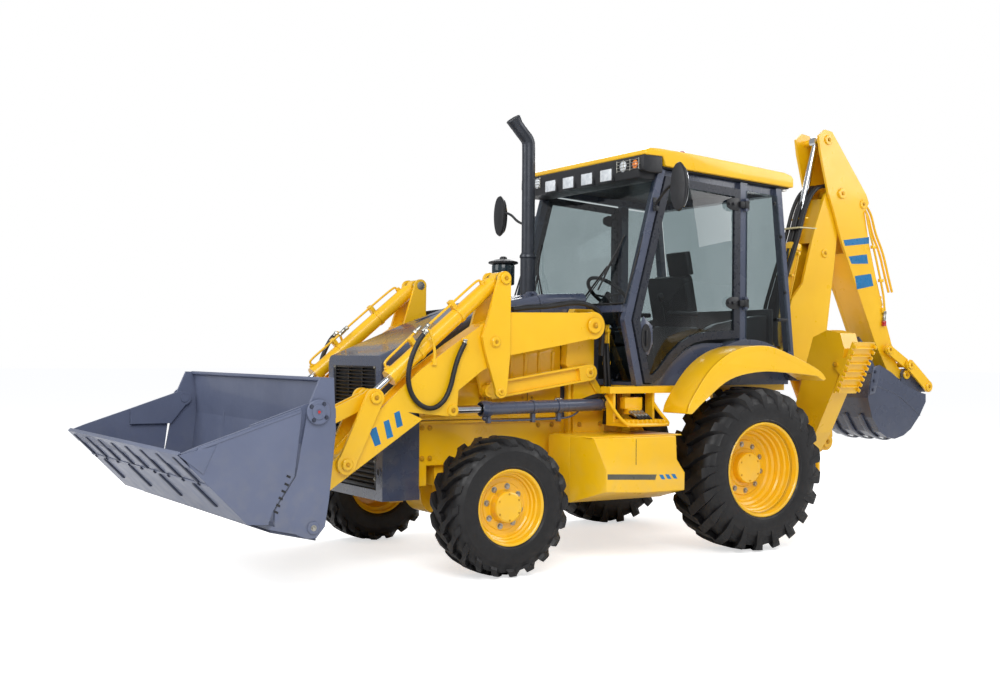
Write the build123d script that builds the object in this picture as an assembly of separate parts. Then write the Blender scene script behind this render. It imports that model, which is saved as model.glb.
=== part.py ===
"""Backhoe loader: a four-in-one loader bucket in front, a folded hoe behind.

Millimetres. X runs forward to the loader bucket, Y to the machine's left and Z up
from the ground. Stations along X are counted from the rear axle; save() moves every
piece so that the origin lies on the ground under the middle of the whole machine.
"""
from build123d import *
import os

os.makedirs("parts", exist_ok=True)

# ---- driving dimensions -------------------------------------------------------
MIDDLE_X = 786.5          # station of the origin: middle of the overall length
WHEELBASE = 2250
TRACK_OUTER = 1133      # outer tyre face from the middle plane
FRONT_R, FRONT_WIDTH, FRONT_RIM_R = 465, 340, 249
REAR_R, REAR_WIDTH, REAR_RIM_R = 620, 450, 346
PIN_CLEAR = 0.3         # radial play of every hinge pin
SEAT_CLEAR = 0.3        # gap of seated parts that are separate pieces
RUN_CLEAR = 10          # side gap between moving plates
KINGPIN_Y = 690
FRAME_Y = 440           # outer face of the front frame plates
FRAME_PLATE = 40
FRAME_LOW, FRAME_TOP = 700, 1010
FRAME_FRONT = 2585
DECK_X = 1050           # where front frame and cab rails meet
RAIL_Y = (300, 380)
RAIL_Z = (560, 760)
AXLE_R = 110
HOE_PLATE_X = (-1060, -1035)
SIDES = (1, -1)    # left and right


# ---- shape helpers ------------------------------------------------------------
def box(x, y, z):
    """Block between pairs of limits."""
    size = (x[1] - x[0], y[1] - y[0], z[1] - z[0])
    middle = ((x[0] + x[1]) / 2, (y[0] + y[1]) / 2, (z[0] + z[1]) / 2)
    return Pos(*middle) * Box(*size)


def plate(outline, y):
    """Outline of (x, z) points, as thick as the pair y."""
    face = make_face(Polyline(*outline, close=True))
    return Pos(0, y[1], 0) * extrude(Plane.XZ * face, amount=y[1] - y[0])


def slab(outline, z):
    """Outline of (x, y) points, between the heights in the pair z."""
    return Pos(0, 0, z[0]) * extrude(make_face(Polyline(*outline, close=True)), amount=z[1] - z[0])


def cross(outline, x):
    """Outline of (y, z) points, between the stations in the pair x."""
    face = make_face(Polyline(*outline, close=True))
    return Pos(x[0], 0, 0) * extrude(Plane.YZ * face, amount=x[1] - x[0])


def disc(at, r, y):
    """Round bar along Y at the (x, z) point."""
    bar = Rot(90, 0, 0) * Cylinder(r, y[1] - y[0])
    return Pos(at[0], (y[0] + y[1]) / 2, at[1]) * bar


def post(at, r, z):
    """Round bar along Z at the (x, y) point."""
    return Pos(at[0], at[1], (z[0] + z[1]) / 2) * Cylinder(r, z[1] - z[0])


def rod(start, end, r):
    """Round bar between two points."""
    line = Vector(*end) - Vector(*start)
    plane = Plane(origin=start, z_dir=line)
    return plane * Cylinder(r, line.length, align=(Align.CENTER, Align.CENTER, Align.MIN))


def flip(shape):
    """The same shape on the right-hand side."""
    return mirror(shape, about=Plane.XZ)


def pair(shape):
    return [shape, flip(shape)]


def save(node, *shapes):
    solids = []
    for shape in shapes:
        solids += list(shape.solids())
    moved = [Pos(-MIDDLE_X, 0, 0) * solid for solid in solids]
    export_step(Compound(children=moved) if len(moved) > 1 else moved[0], f"parts/{node}.step")


def along(start, end, length):
    """Point at a distance from start towards end."""
    line = Vector(*end) - Vector(*start)
    return tuple(Vector(*start) + line * (length / line.length))


def strip(start, end, half, y):
    """Straight bar between two (x, z) points, half as high as given."""
    a, b = Vector(*start), Vector(*end)
    up = Vector(-(b - a).Y, (b - a).X).normalized() * half
    return plate([tuple(p)[:2] for p in (a + up, b + up, b - up, a - up)], y)


def strip_path(points, half, y):
    """Chain of straight bars through the (x, z) points, rounded at the bends."""
    body = strip(points[0], points[1], half, y)
    for a, b in zip(points[1:], points[2:]):
        body += strip(a, b, half, y)
    for a in points[1:-1]:
        body += disc(a, half, y)
    return body


def both(y):
    """The pair of limits on the left and on the right."""
    return [y, (-y[1], -y[0])]


# ---- wheels -------------------------------------------------------------------
def turned(profile, station, z):
    """Ring from a profile of (radius, y) points, on an axle along Y."""
    face = make_face(Polyline(*profile, close=True))
    ring = revolve(Plane.XY * face, Axis.Y)
    return Pos(station, 0, z) * ring


def tyre(station, r, width, rim_r):
    outer, inner = TRACK_OUTER, TRACK_OUTER - width
    shoulder, wall = 45, 0.62
    bulge = rim_r + (r - rim_r) * wall
    profile = [(rim_r, inner + 25), (bulge, inner), (r - 25, inner + 15), (r, inner + shoulder),
               (r, outer - shoulder), (r - 25, outer - 15), (bulge, outer), (rim_r, outer - 25)]
    return turned(profile, station, r)


def wheel_rim(station, r, width, rim_r, disc_y, hub_r, hub_y):
    """Rim barrel with flanges, a dished disc and a hub cap."""
    outer, inner = TRACK_OUTER - 25, TRACK_OUTER - width + 25
    seat = rim_r - SEAT_CLEAR
    barrel = turned([(seat, inner), (seat, outer), (seat - 22, outer), (seat - 45, outer - 40),
                     (seat - 45, inner + 40), (seat - 22, inner)], station, r)
    web = disc((station, r), seat - 40, (disc_y - 12, disc_y + 12))
    hub = disc((station, r), hub_r, (hub_y[0], hub_y[1]))
    return barrel + web + hub


WHEELS = [  # name, station, radius, width, rim radius, disc y, hub radius, hub y
    ("front", WHEELBASE, FRONT_R, FRONT_WIDTH, FRONT_RIM_R, 1000, 105, (900, 1085)),
    ("rear", 0, REAR_R, REAR_WIDTH, REAR_RIM_R, 860, 135, (775, 950)),
]
for name, station, r, width, rim_r, disc_y, hub_r, hub_y in WHEELS:
    rubber = tyre(station, r, width, rim_r)
    rim = wheel_rim(station, r, width, rim_r, disc_y, hub_r, hub_y)
    save(f"{name}_left_tyre", rubber)
    save(f"{name}_left_rim", rim)
    save(f"{name}_right_tyre", flip(rubber))
    save(f"{name}_right_rim", flip(rim))

# ---- front axle knuckles, axles -----------------------------------------------
KNUCKLE_R, KNUCKLE_HALF = 50, 95
YOKE_Z = (KNUCKLE_HALF + RUN_CLEAR / 2, KNUCKLE_HALF + 40)
knuckle = post((WHEELBASE, KINGPIN_Y), KNUCKLE_R, (FRONT_R - KNUCKLE_HALF, FRONT_R + KNUCKLE_HALF))
knuckle += disc((WHEELBASE, FRONT_R), 48, (KINGPIN_Y, 899.5))
kingpin_play = 25 + PIN_CLEAR
knuckle -= post((WHEELBASE, KINGPIN_Y), kingpin_play, (0, 2 * FRONT_R))
save("knuckle_left", knuckle)
save("knuckle_right", flip(knuckle))

beam = box((WHEELBASE - 60, WHEELBASE + 60), (-560, 560), (FRONT_R - 70, FRONT_R + 70))
beam += disc((WHEELBASE, FRONT_R), 150, (-130, 130))
for side in SIDES:
    y0, y1 = sorted((side * 540, side * 625))
    beam += box((WHEELBASE - 60, WHEELBASE + 60), (y0, y1),
                (FRONT_R - YOKE_Z[1], FRONT_R + YOKE_Z[1]))
    for low, high in (YOKE_Z, (-YOKE_Z[1], -YOKE_Z[0])):
        y0, y1 = sorted((side * 600, side * (KINGPIN_Y + 40)))
        beam += box((WHEELBASE - 45, WHEELBASE + 45), (y0, y1), (FRONT_R + low, FRONT_R + high))
    beam += post((WHEELBASE, side * KINGPIN_Y), 25, (FRONT_R - YOKE_Z[1], FRONT_R + YOKE_Z[1]))
rear_axle = disc((0, REAR_R), AXLE_R, (-700, 700)) + disc((0, REAR_R), 190, (-180, 180))
rear_axle += disc((0, REAR_R), 90, (-774.7, 774.7))
save("axles", beam, rear_axle)

# ---- frame --------------------------------------------------------------------
inner = FRAME_Y - FRAME_PLATE
frame = box((DECK_X, DECK_X + 40), (-FRAME_Y, FRAME_Y), (RAIL_Z[0], FRAME_TOP))
frame += box((FRAME_FRONT - 60, FRAME_FRONT), (-FRAME_Y, FRAME_Y), (RAIL_Z[0], FRAME_TOP))
frame += box((2060, 2130), (-inner, inner), (FRONT_R + 90, FRAME_LOW + 60))
frame += box((2370, 2440), (-inner, inner), (FRONT_R + 90, FRAME_LOW + 60))
frame += box((2060, 2440), (-140, 140), (FRONT_R + 152, FRAME_LOW + 20))
for side in SIDES:
    y = sorted((side * inner, side * FRAME_Y))
    frame += box((DECK_X, FRAME_FRONT), y, (FRAME_LOW, FRAME_TOP))
    y = sorted((side * RAIL_Y[0], side * RAIL_Y[1]))
    frame += box((HOE_PLATE_X[0], DECK_X + 40), y, RAIL_Z)
frame += box((-700, -640), (-RAIL_Y[1], RAIL_Y[1]), RAIL_Z)
frame -= disc((0, REAR_R), AXLE_R + SEAT_CLEAR, (-500, 500))
frame -= disc((0, REAR_R), 190 + RUN_CLEAR, (-200, 200))

# the hoe's mounting frame: two plates, the stabilizer pivots and the swing lugs
REAR_PLATE_X = (-1290, -1265)
STAB_PIVOT = (290, 600)                   # y, z
SWING_X, SWING_PIN_R, SWING_LUG_R = -1480, 40, 80
SWING_LUG_Z = ((520, 575), (885, 940))
for x in (HOE_PLATE_X, REAR_PLATE_X):
    frame += cross([(-430, 470), (430, 470), (430, 640), (330, 930), (-330, 930), (-430, 640)], x)
frame += box((REAR_PLATE_X[0], HOE_PLATE_X[1]), (-95, 95), (470, 900))
for low, high in SWING_LUG_Z:
    lug = box((SWING_X, REAR_PLATE_X[1]), (-SWING_LUG_R, SWING_LUG_R), (low, high))
    frame += lug + post((SWING_X, 0), SWING_LUG_R, (low, high))
frame += post((SWING_X, 0), SWING_PIN_R, (SWING_LUG_Z[0][0], SWING_LUG_Z[1][1]))
TIE_DOWN, TIE_DOWN_R = (385, 525), 22      # y, z of the holes in the rearmost plate
for side in SIDES:
    frame += rod((REAR_PLATE_X[0], side * STAB_PIVOT[0], STAB_PIVOT[1]),
                 (HOE_PLATE_X[1], side * STAB_PIVOT[0], STAB_PIVOT[1]), 35)
    frame -= rod((REAR_PLATE_X[0] - 5, side * TIE_DOWN[0], TIE_DOWN[1]),
                 (REAR_PLATE_X[1] + 5, side * TIE_DOWN[0], TIE_DOWN[1]), TIE_DOWN_R)
save("main_frame", frame)

# ---- loader towers ------------------------------------------------------------
ARM_PIVOT = (1287, 1686)
LEVER_MID, LEVER_LOW = (2145, 1558), (2095, 1216)
TIE_REAR = tuple(p + low - mid for p, low, mid in zip(ARM_PIVOT, LEVER_LOW, LEVER_MID))
LIFT_REAR = (1130, 1112)
TOWER_Y = (FRAME_Y, 520)
ARM_Y = (540, 690)
REAR_ARM_Y = (600, 690)
TIE_Y = (535, 585)
LIFT_Y = 640
tower = plate([(1060, 780), (1060, 1180), (1160, 1320), (1157, 1811), (1330, 1811), (1390, 1700),
               (1410, 1400), (1340, 1300), (1340, 780)], TOWER_Y)
tower += disc(ARM_PIVOT, 45, (TOWER_Y[0], ARM_Y[1] + 12))
tower += disc(ARM_PIVOT, 55, (TOWER_Y[1] - 5, REAR_ARM_Y[0] - RUN_CLEAR))
tower += disc(TIE_REAR, 25, (TOWER_Y[0], TIE_Y[1] + 2))
tower += disc(LIFT_REAR, 30, (TOWER_Y[0], LIFT_Y + 37))
tower += disc(LIFT_REAR, 50, (TOWER_Y[1] - 5, LIFT_Y - 32))
save("loader_towers", *pair(tower))

# ---- loader arms and their linkage ----------------------------------------------
LEVER_TOP = (2070, 1998)
LIFT_FRONT = (2461, 1090)
ROCKER_PIVOT, ROCKER_TOP = (3259, 758), (3058, 1184)
BUCKET_PIN, LINK_PIN = (3490, 600), (3500, 990)
CARRIER_R = 32
LEVER_Y = ((500, 525), (700, 725))
EAR_Y = (597, 633)
LINK_Y = ((572, 590), (640, 658))
LINK_PIN_R = 26
LINK_GROOVE = [(2500, 1620), (2540, 1420), (2700, 1315), (2960, 1080), (3100, 905), (3300, 810),
               (3345, 1000), (3100, 1300)]       # where the tilt rod and the links sink in
ARM_TUBE, ARM_TUBE_R = (3055, 858), 48
arm = plate([(1290, 1780), (2010, 1765), (2250, 1675), (2250, 1350), (2000, 1467), (1578, 1538),
             (1290, 1592)], REAR_ARM_Y)
arm += disc(ARM_PIVOT, 100, REAR_ARM_Y)
arm += plate([(2215, 1685), (2444, 1544), (2709, 1364), (2996, 1116), (3340, 780), (3500, 690),
              (3500, 505), (3345, 605), (2691, 1036), (2800, 1085), (2500, 1052), (2430, 1052),
              (2417, 1225), (2215, 1370)], ARM_Y)
arm += disc(BUCKET_PIN, 78, ARM_Y) + disc(LIFT_FRONT, 46, ARM_Y) + disc(ROCKER_PIVOT, 75, ARM_Y)
arm -= disc(BUCKET_PIN, 175, (572 - RUN_CLEAR, 658 + RUN_CLEAR))
arm -= box((2380, 2640), (LIFT_Y - 30, LIFT_Y + 30), (1000, 1165))
arm -= plate(LINK_GROOVE, (LINK_Y[0][0] - RUN_CLEAR, LINK_Y[1][1] + RUN_CLEAR))
arm -= disc(ARM_PIVOT, 45 + PIN_CLEAR, (0, 900))
arm -= disc(LEVER_MID, 40 + PIN_CLEAR, (0, 900))
arm -= disc(ROCKER_PIVOT, CARRIER_R + PIN_CLEAR, (0, 900))
arm -= disc(BUCKET_PIN, CARRIER_R + PIN_CLEAR, (0, 900))
arms = arm + flip(arm) + disc(ARM_TUBE, ARM_TUBE_R, (-ARM_Y[0] - 5, ARM_Y[0] + 5))
save("loader_arms", arms)

lever_shape = [(2022, 1998), (2025, 1460), (2050, 1225), (2140, 1225), (2228, 1496), (2250, 1591),
               (2221, 1674), (2120, 1998)]
lever = []
for y in LEVER_Y:
    half = plate(lever_shape, y) + disc(LEVER_TOP, 50, y) + disc(LEVER_LOW, 46, y)
    lever.append(half)
lever_body = lever[0] + lever[1]
lever_body -= disc(LEVER_TOP, CARRIER_R + PIN_CLEAR, (0, 900))
lever_body += disc(LEVER_MID, 40, (LEVER_Y[0][0], LEVER_Y[1][1] + 8))
lever_body += disc(LEVER_LOW, 25, (LEVER_Y[0][0], TIE_Y[1] + 4))
save("guide_levers", *pair(lever_body))

tie_dir = Vector(LEVER_LOW[0] - TIE_REAR[0], LEVER_LOW[1] - TIE_REAR[1]).normalized()


tie = strip(TIE_REAR, LEVER_LOW, 60, TIE_Y)
tie += disc(TIE_REAR, 60, TIE_Y) + disc(LEVER_LOW, 46, TIE_Y)
tie -= strip(tuple(Vector(*TIE_REAR) + tie_dir * 95)[:2], tuple(Vector(*LEVER_LOW) - tie_dir * 75)[:2],
             45, (TIE_Y[0] + 20, TIE_Y[1]))
tie -= disc(TIE_REAR, 25 + PIN_CLEAR, (0, 900))
tie -= disc(LEVER_LOW, 25 + PIN_CLEAR, (0, 900))
save("tie_rods", *pair(tie))


def cylinder(base, eye, y, barrel_r, rod_r, barrel_len, pin_r, eye_r, halves, travel):
    """Barrel hinged at base and rod with its eye at eye, both in the plane y.

    halves are the half widths of the base boss and of the rod's eye, travel the
    rod's movement in and out from where it is drawn.
    """
    a, b = (base[0], y, base[1]), (eye[0], y, eye[1])
    total = (Vector(*b) - Vector(*a)).length
    hidden = travel[1] + 80
    barrel = rod(along(a, b, eye_r + 15), along(a, b, barrel_len), barrel_r)
    barrel += rod(along(a, b, barrel_len - 60), along(a, b, barrel_len), barrel_r + 5)
    barrel += disc(base, eye_r, (y - halves[0], y + halves[0]))
    barrel += rod(a, along(a, b, eye_r + 20), min(halves[0], eye_r) - 2)
    barrel -= disc(base, pin_r + PIN_CLEAR, (y - 200, y + 200))
    bore = (barrel_len - hidden + travel[0] - 10, barrel_len + 5)
    barrel -= rod(along(a, b, bore[0]), along(a, b, bore[1]), rod_r + PIN_CLEAR)
    stem = rod(along(a, b, barrel_len - hidden), along(a, b, total - eye_r + 5), rod_r)
    stem += disc(eye, eye_r, (y - halves[1], y + halves[1]))
    return barrel, stem


TILT_Y = 615
lift = cylinder(LIFT_REAR, LIFT_FRONT, LIFT_Y, 46, 28, 1060, 30, 42, (25, 25), (-120, 700))
save("lift_cylinders", *pair(lift[0]))
save("lift_rods", *pair(lift[1]))
tilt = cylinder(LEVER_TOP, ROCKER_TOP, TILT_Y, 55, 22, 1085, CARRIER_R, 45, (40, 18), (-60, 640))
save("tilt_cylinders", *pair(tilt[0]))
save("tilt_rods", *pair(tilt[1]))

ROCKER_Y = LEVER_Y
PINS = (  # node, centre, radius, thrust plates' radius, their y ranges from the inner end out
    ("lever_pins", LEVER_TOP, CARRIER_R, 75, ((478, 497), (529, 558), (672, 697), (728, 745))),
    ("rocker_pins", ROCKER_PIVOT, CARRIER_R, 85, ((467, 497), (527, 538), (692, 698), (728, 758))),
    ("link_pins", LINK_PIN, LINK_PIN_R, 74, ((528, 568), (662, 697))),
    ("bucket_pins", BUCKET_PIN, CARRIER_R, 105, ((528, 538), (572, 596), (634, 658), (692, 698))),
)
for name, centre, radius, plate_r, bands in PINS:
    pin = disc(centre, radius, (bands[0][0], bands[-1][1]))
    for y in bands:
        pin += disc(centre, plate_r, y)
    save(name, *pair(pin))

rockers = []
ROCKER_STUB_R = 30
STUBS = ((ROCKER_Y[0][0] - 4, LINK_Y[0][0] - 5), (LINK_Y[1][1] + 5, ROCKER_Y[1][1] + 8))
for y, stub in zip(ROCKER_Y, STUBS):
    half = strip(ROCKER_PIVOT, ROCKER_TOP, 62, y)
    half += disc(ROCKER_PIVOT, 66, y) + disc(ROCKER_TOP, 62, y)
    half -= disc(ROCKER_PIVOT, CARRIER_R + PIN_CLEAR, (0, 900))
    half += disc(ROCKER_TOP, ROCKER_STUB_R, stub)
    rockers.append(half)
save("rockers", *rockers, *[flip(half) for half in rockers])
link = []
for y in LINK_Y:
    half = strip(ROCKER_TOP, LINK_PIN, 48, y) + disc(ROCKER_TOP, 58, y) + disc(LINK_PIN, 48, y)
    half -= disc(LINK_PIN, LINK_PIN_R + PIN_CLEAR, (0, 900))
    link.append(half)
link_body = link[0] + link[1]
tie_at = (3300, 1082)
link_body += disc(tie_at, 22, (LINK_Y[0][0], LINK_Y[1][1]))
save("bucket_links", *pair(link_body))

# ---- loader bucket and its clam jaw -----------------------------------------------
BUCKET_HALF, SIDE_PLATE = 1250, 22
JAW_PIVOT = (3698, 1127)
JAW_GAP = 6
side_y = (BUCKET_HALF - SIDE_PLATE, BUCKET_HALF)
rear_side = [(3594, 1323), (3680, 1326), (3740, 1190), (3765, 1100), (3830, 752), (3960, 560),
             (3960, 470), (3760, 385), (3700, 385), (3645, 450), (3620, 606), (3579, 1019)]
back_outer = [(3594, 1323), (3579, 1019), (3620, 606), (3645, 450), (3700, 385), (3990, 452),
              (3985, 475), (3712, 410), (3667, 460), (3641, 610), (3600, 1019), (3615, 1323)]
bucket = plate(back_outer, (-BUCKET_HALF, BUCKET_HALF))
for side in SIDES:
    y = sorted((side * side_y[0], side * side_y[1]))
    bucket += plate(rear_side, y)
    y = sorted((side * (side_y[0] - 34), side * (BUCKET_HALF + 12)))
    bucket += disc(JAW_PIVOT, 32, y)
    y = sorted((side * (BUCKET_HALF - 5), side * (BUCKET_HALF + 14)))
    bucket += disc(JAW_PIVOT, 62, y)
ear = plate([(3600, 1090), (3500, 1048), (3452, 1010), (3446, 975), (3420, 630), (3420, 570),
             (3460, 530), (3640, 520), (3625, 606)], EAR_Y)
ear += disc(BUCKET_PIN, 68, EAR_Y)
ear -= disc(BUCKET_PIN, CARRIER_R + PIN_CLEAR, (0, 900))
ear -= disc(LINK_PIN, LINK_PIN_R + PIN_CLEAR, (0, 900))
bucket += ear + flip(ear)
save("loader_bucket", bucket)

jaw_side = [(3797, 1108), (3802, 1150), (4420, 945), (4530, 903), (4124, 495), (3990, 505),
            (3970, 562), (3840, 755)]
jaw_arm = [(3698, 1178), (3755, 1172), (4100, 1055), (4100, 940), (3800, 940), (3690, 1077)]
jaw_floor = [(4535, 905), (4124, 490), (3996, 482), (3996, 507), (4114, 515), (4505, 905)]
jaw = plate(jaw_floor, (-BUCKET_HALF, BUCKET_HALF))
for side in SIDES:
    y = sorted((side * side_y[0], side * side_y[1]))
    jaw += plate(jaw_side, y)
    y = sorted((side * (side_y[0] - 30), side * (side_y[0] - JAW_GAP)))
    near = plate(jaw_arm, y) + disc(JAW_PIVOT, 51, y)
    y = sorted((side * (side_y[0] - 30), side * side_y[1]))
    near += plate([(3860, 1100), (4095, 1045), (4095, 945), (3870, 945)], y)
    jaw += near - disc(JAW_PIVOT, 32 + PIN_CLEAR, (-BUCKET_HALF, BUCKET_HALF))
save("clam_jaw", jaw)

# ---- bonnet, its surround, engine and stacks ----------------------------------------
NOSE_X = 2870
BONNET_REAR = 1585
BONNET_SKIN = 20
SEAM = 6
HOOD_LINE = [(NOSE_X, 1457), (2300, 1690), (1816, 1867), (1520, 1920), (1167, 1938)]
HOOD_HALF = 430
HOOD_LOW = 1046


def hood_block(x0, x1, inset):
    """Solid under the bonnet line between two stations, inset by a skin."""
    tops = [(x, z - inset) for x, z in HOOD_LINE]
    block = plate([(3100, 1360 - inset)] + tops + [(900, 1945 - inset), (900, HOOD_LOW - 30),
                  (3100, HOOD_LOW - 30)], (-HOOD_HALF + inset, HOOD_HALF - inset))
    block = fillet(block.edges().filter_by(lambda e: e.center().Z > 1300
                   and abs(abs(e.center().Y) - HOOD_HALF + inset) < 1
                   and abs(e.tangent_at(0.5).Y) < 0.1), 60 if inset == 0 else 45)
    return block & box((x0, x1), (-600, 600), (HOOD_LOW, 2200))


bonnet = hood_block(BONNET_REAR, NOSE_X, 0)
bonnet -= hood_block(BONNET_REAR - 50, NOSE_X - BONNET_SKIN, BONNET_SKIN)
bonnet -= box((NOSE_X - 100, NOSE_X + 10), (-345, 345), (HOOD_LOW - 10, 1385))
bonnet -= box((BONNET_REAR - 60, NOSE_X - BONNET_SKIN), (-600, 600), (HOOD_LOW - 20, HOOD_LOW - 1))
HOOD_HINGE, HOOD_PIN_R = (1582, 1925), 8
for side in SIDES:
    y = sorted((side * 276, side * 324))
    bonnet += plate([(1584, 1900), (1640, 1890), (1640, 1912), (1584, 1938)], y) + disc(HOOD_HINGE, 14, y)
bonnet -= disc(HOOD_HINGE, HOOD_PIN_R + PIN_CLEAR, (-500, 500))
save("bonnet", bonnet)

SKIRT_X = (2590, NOSE_X)
surround = hood_block(1167, BONNET_REAR - SEAM, 0) - hood_block(1187, BONNET_REAR + 50, BONNET_SKIN)
for side in SIDES:
    y = sorted((side * 395, side * 435))
    surround += box((1167, 2800), y, (FRAME_TOP + SEAT_CLEAR, HOOD_LOW - SEAM))
    surround += disc(HOOD_HINGE, HOOD_PIN_R, sorted((side * 250, side * 350)))
    for near, far in ((250, 270), (330, 350)):
        ear_y = sorted((side * near, side * far))
        surround += disc(HOOD_HINGE, 12, ear_y)
        surround += plate([(1540, 1900), (1578, 1900), (1578, 1915), (1576, 1935), (1560, 1930)], ear_y)
    y = sorted((side * 440.5, side * 456))
    surround += box(SKIRT_X, y, (470, HOOD_LOW - SEAM))
    y = sorted((side * 360, side * 456))
    surround += box((NOSE_X - 70, NOSE_X), y, (470, HOOD_LOW - SEAM))
surround += box((FRAME_FRONT + 0.5, NOSE_X), (-456, 456), (470, 540))
surround += box((2600, 2800), (-435, 435), (HOOD_LOW - SEAM - 25, HOOD_LOW - SEAM))
for side in SIDES:
    y = sorted((side * (HOOD_HALF - BONNET_SKIN), side * HOOD_HALF))
    surround += box((1167, BONNET_REAR - SEAM), y, (HOOD_LOW - SEAM - 5, HOOD_LOW + 1))
TOW_HOLE, TOW_HOLE_R = (2835, 0), 16
surround -= post(TOW_HOLE, TOW_HOLE_R, (400, 600))
STACK_AT, STACK_R = (1495, 130), 58
INTAKE_AT, INTAKE_R = (1445, -300), 45
for at, r in ((STACK_AT, STACK_R), (INTAKE_AT, INTAKE_R)):
    surround -= post(at, r + 4, (1800, 2100))
save("bonnet_surround", surround)
grille = box((2812, 2842), (-359.5, 359.5), (540.5, HOOD_LOW - 10))
grille += box((2812, 2842), (-340, 340), (HOOD_LOW - 15, 1378))
save("grille", grille)

engine = box((1700, 2500), (-270, 270), (760, 1420))
engine += box((1120, 1705), (-220, 220), (620, 1020))
for x in ((1850, 1930), (2250, 2330)):
    engine += box(x, (-inner + SEAT_CLEAR, inner - SEAT_CLEAR), (780, 840))
save("engine", engine)

BEND_Z, TIP = 3085, (1640, 130, 3240)
stack = post(STACK_AT, STACK_R - 8, (1500, 2210)) + post(STACK_AT, STACK_R, (2130, 2215))
stack += post(STACK_AT, 50, (2200, BEND_Z)) + Pos(*STACK_AT, BEND_Z) * Sphere(50)
stack += rod((*STACK_AT, BEND_Z), TIP, 50)
stack += box((STACK_AT[0] - 65, 1700 - SEAT_CLEAR), (60, 200), (1330, 1510))
intake = post(INTAKE_AT, INTAKE_R, (1560, 1985)) + post(INTAKE_AT, 85, (1980, 2190))
intake += post(INTAKE_AT, 105, (2190, 2215)) + post(INTAKE_AT, 60, (2214, 2240))
intake += box((INTAKE_AT[0] - 70, INTAKE_AT[0] + 75), (-380, 12), (1440, 1565))
intake += box((INTAKE_AT[0] - 30, INTAKE_AT[0] + 40), (-150, -10), (1020 + SEAT_CLEAR, 1445))
save("stacks", stack, intake)

# ---- side tanks and platform ---------------------------------------------------------
TANK_X, TANK_Y = (735, 1572), (530, 1060)
tank = cross([(TANK_Y[0], 560), (TANK_Y[0], 900), (TANK_Y[1], 900), (TANK_Y[1], 520), (960, 425),
              (620, 425)], TANK_X)
tank += cross([(380.3, 600), (380.3, 720), (TANK_Y[0] + 5, 720), (TANK_Y[0] + 5, 600)], (760, 1040))
tank -= plate([(700, 300), (700, 560), (735, 620), (850, 400), (850, 300)], (400, 1100))
save("side_tanks", *pair(tank))

POST_Y = (725, 780)
FLOOR_Z = (1200, 1248)
CAB_REAR = -640
SILL_FRONT = 1230
STEP_X, STEP_Y, STEP_Z = (800, 1180), (705, 960), (960, 985)
deck = slab([(960, -760), (960, 760), (480, 760), (440, 660), (CAB_REAR, 660), (CAB_REAR, -660),
             (440, -660), (480, -760)], FLOOR_Z)
for side in SIDES:
    y = sorted((side * 755, side * 815))
    deck += box((470, SILL_FRONT), y, (1195, 1245))
    y = sorted((side * STEP_Y[0], side * 760))
    deck += box((900, SILL_FRONT), y, (1195, 1245))
    for x in ((-600, -520), (700, 780)):
        y = sorted((side * (RAIL_Y[0] + 10), side * (RAIL_Y[1] - 10)))
        deck += box(x, y, (RAIL_Z[1], FLOOR_Z[0] + 2))
    y = sorted((side * STEP_Y[0], side * (STEP_Y[0] + 85)))
    for x in ((STEP_X[0], STEP_X[0] + 20), (STEP_X[1] - 20, STEP_X[1])):
        deck += box(x, y, (STEP_Z[0], 1200))
    y = sorted((side * STEP_Y[0], side * STEP_Y[1]))
    deck += box(STEP_X, y, STEP_Z)
save("platform", deck)

# ---- cab ------------------------------------------------------------------------------
A_FOOT, A_KNEE, A_HEAD = (960, 1247), (1075, 1730), (752, 2800)
B_X = (-118, -45)
C_FOOT, C_HEAD = (-600, 1500), (-450, 2740)
ARCH_AT, ARCH_R, ARCH_SKIN = (-100, 927), 673, 45
ROOF_REAR, ROOF_SLOPE = (-565, 2800), 0.0475


def roof_z(x):
    return ROOF_REAR[1] + (x - ROOF_REAR[0]) * ROOF_SLOPE


FOOT_Z = FLOOR_Z[1] + SEAT_CLEAR
DOOR_HINGE, DOOR_PIN_R, DOOR_HINGE_Z = (-82, 806), 7, (1856, 2620)
KNUCKLE_LEN = 50
arch_y = (705, 845)
ring = (disc(ARCH_AT, ARCH_R, arch_y) - disc(ARCH_AT, ARCH_R - ARCH_SKIN, (0, 1200)))
ring &= box((-620, 620), (0, 1200), (FOOT_Z, 2400))
wall = disc(ARCH_AT, ARCH_R - 5, (690, 705.5)) & box((-620, 620), (0, 1200), (FOOT_Z, 2400))
side_frame = ring + wall
side_frame += strip_path([(A_FOOT[0] - 30, A_FOOT[1] + 2), (A_KNEE[0] - 30, A_KNEE[1]),
                          (A_HEAD[0] - 20, roof_z(A_HEAD[0]) - 2)], 30, POST_Y)
side_frame += plate([(B_X[0], 1590), (B_X[0], roof_z(-118) - 2), (B_X[1], roof_z(-45) - 2),
                     (B_X[1], 1590)], POST_Y)
side_frame += strip((C_FOOT[0], 1450), (C_HEAD[0], roof_z(C_HEAD[0]) - 2), 30, POST_Y)
side_frame += plate([(-480, roof_z(-480) - 60), (-480, roof_z(-480) - 1), (740, roof_z(740) - 1),
                     (740, roof_z(740) - 45)], (690, 745))
side_frame += plate([(560, FOOT_Z), (800, FOOT_Z), (800, 1268), (715, 1310), (612, 1420), (505, 1500),
                     (400, 1550), (300, 1570), (0, 1570), (0, 1590), (-110, 1590), (-110, 1540),
                     (200, 1500), (420, 1350)], (730, 757))
side_frame += box((790, 940), (730, 757), (FOOT_Z, 1262))
side_frame &= box((-2000, 2000), (0, 1200), (FOOT_Z, 3200))
side_frame -= plate([(x, roof_z(x) - SEAT_CLEAR) for x in (-900, 1300)] + [(1300, 3300), (-900, 3300)],
                    (0, 1200))
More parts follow.
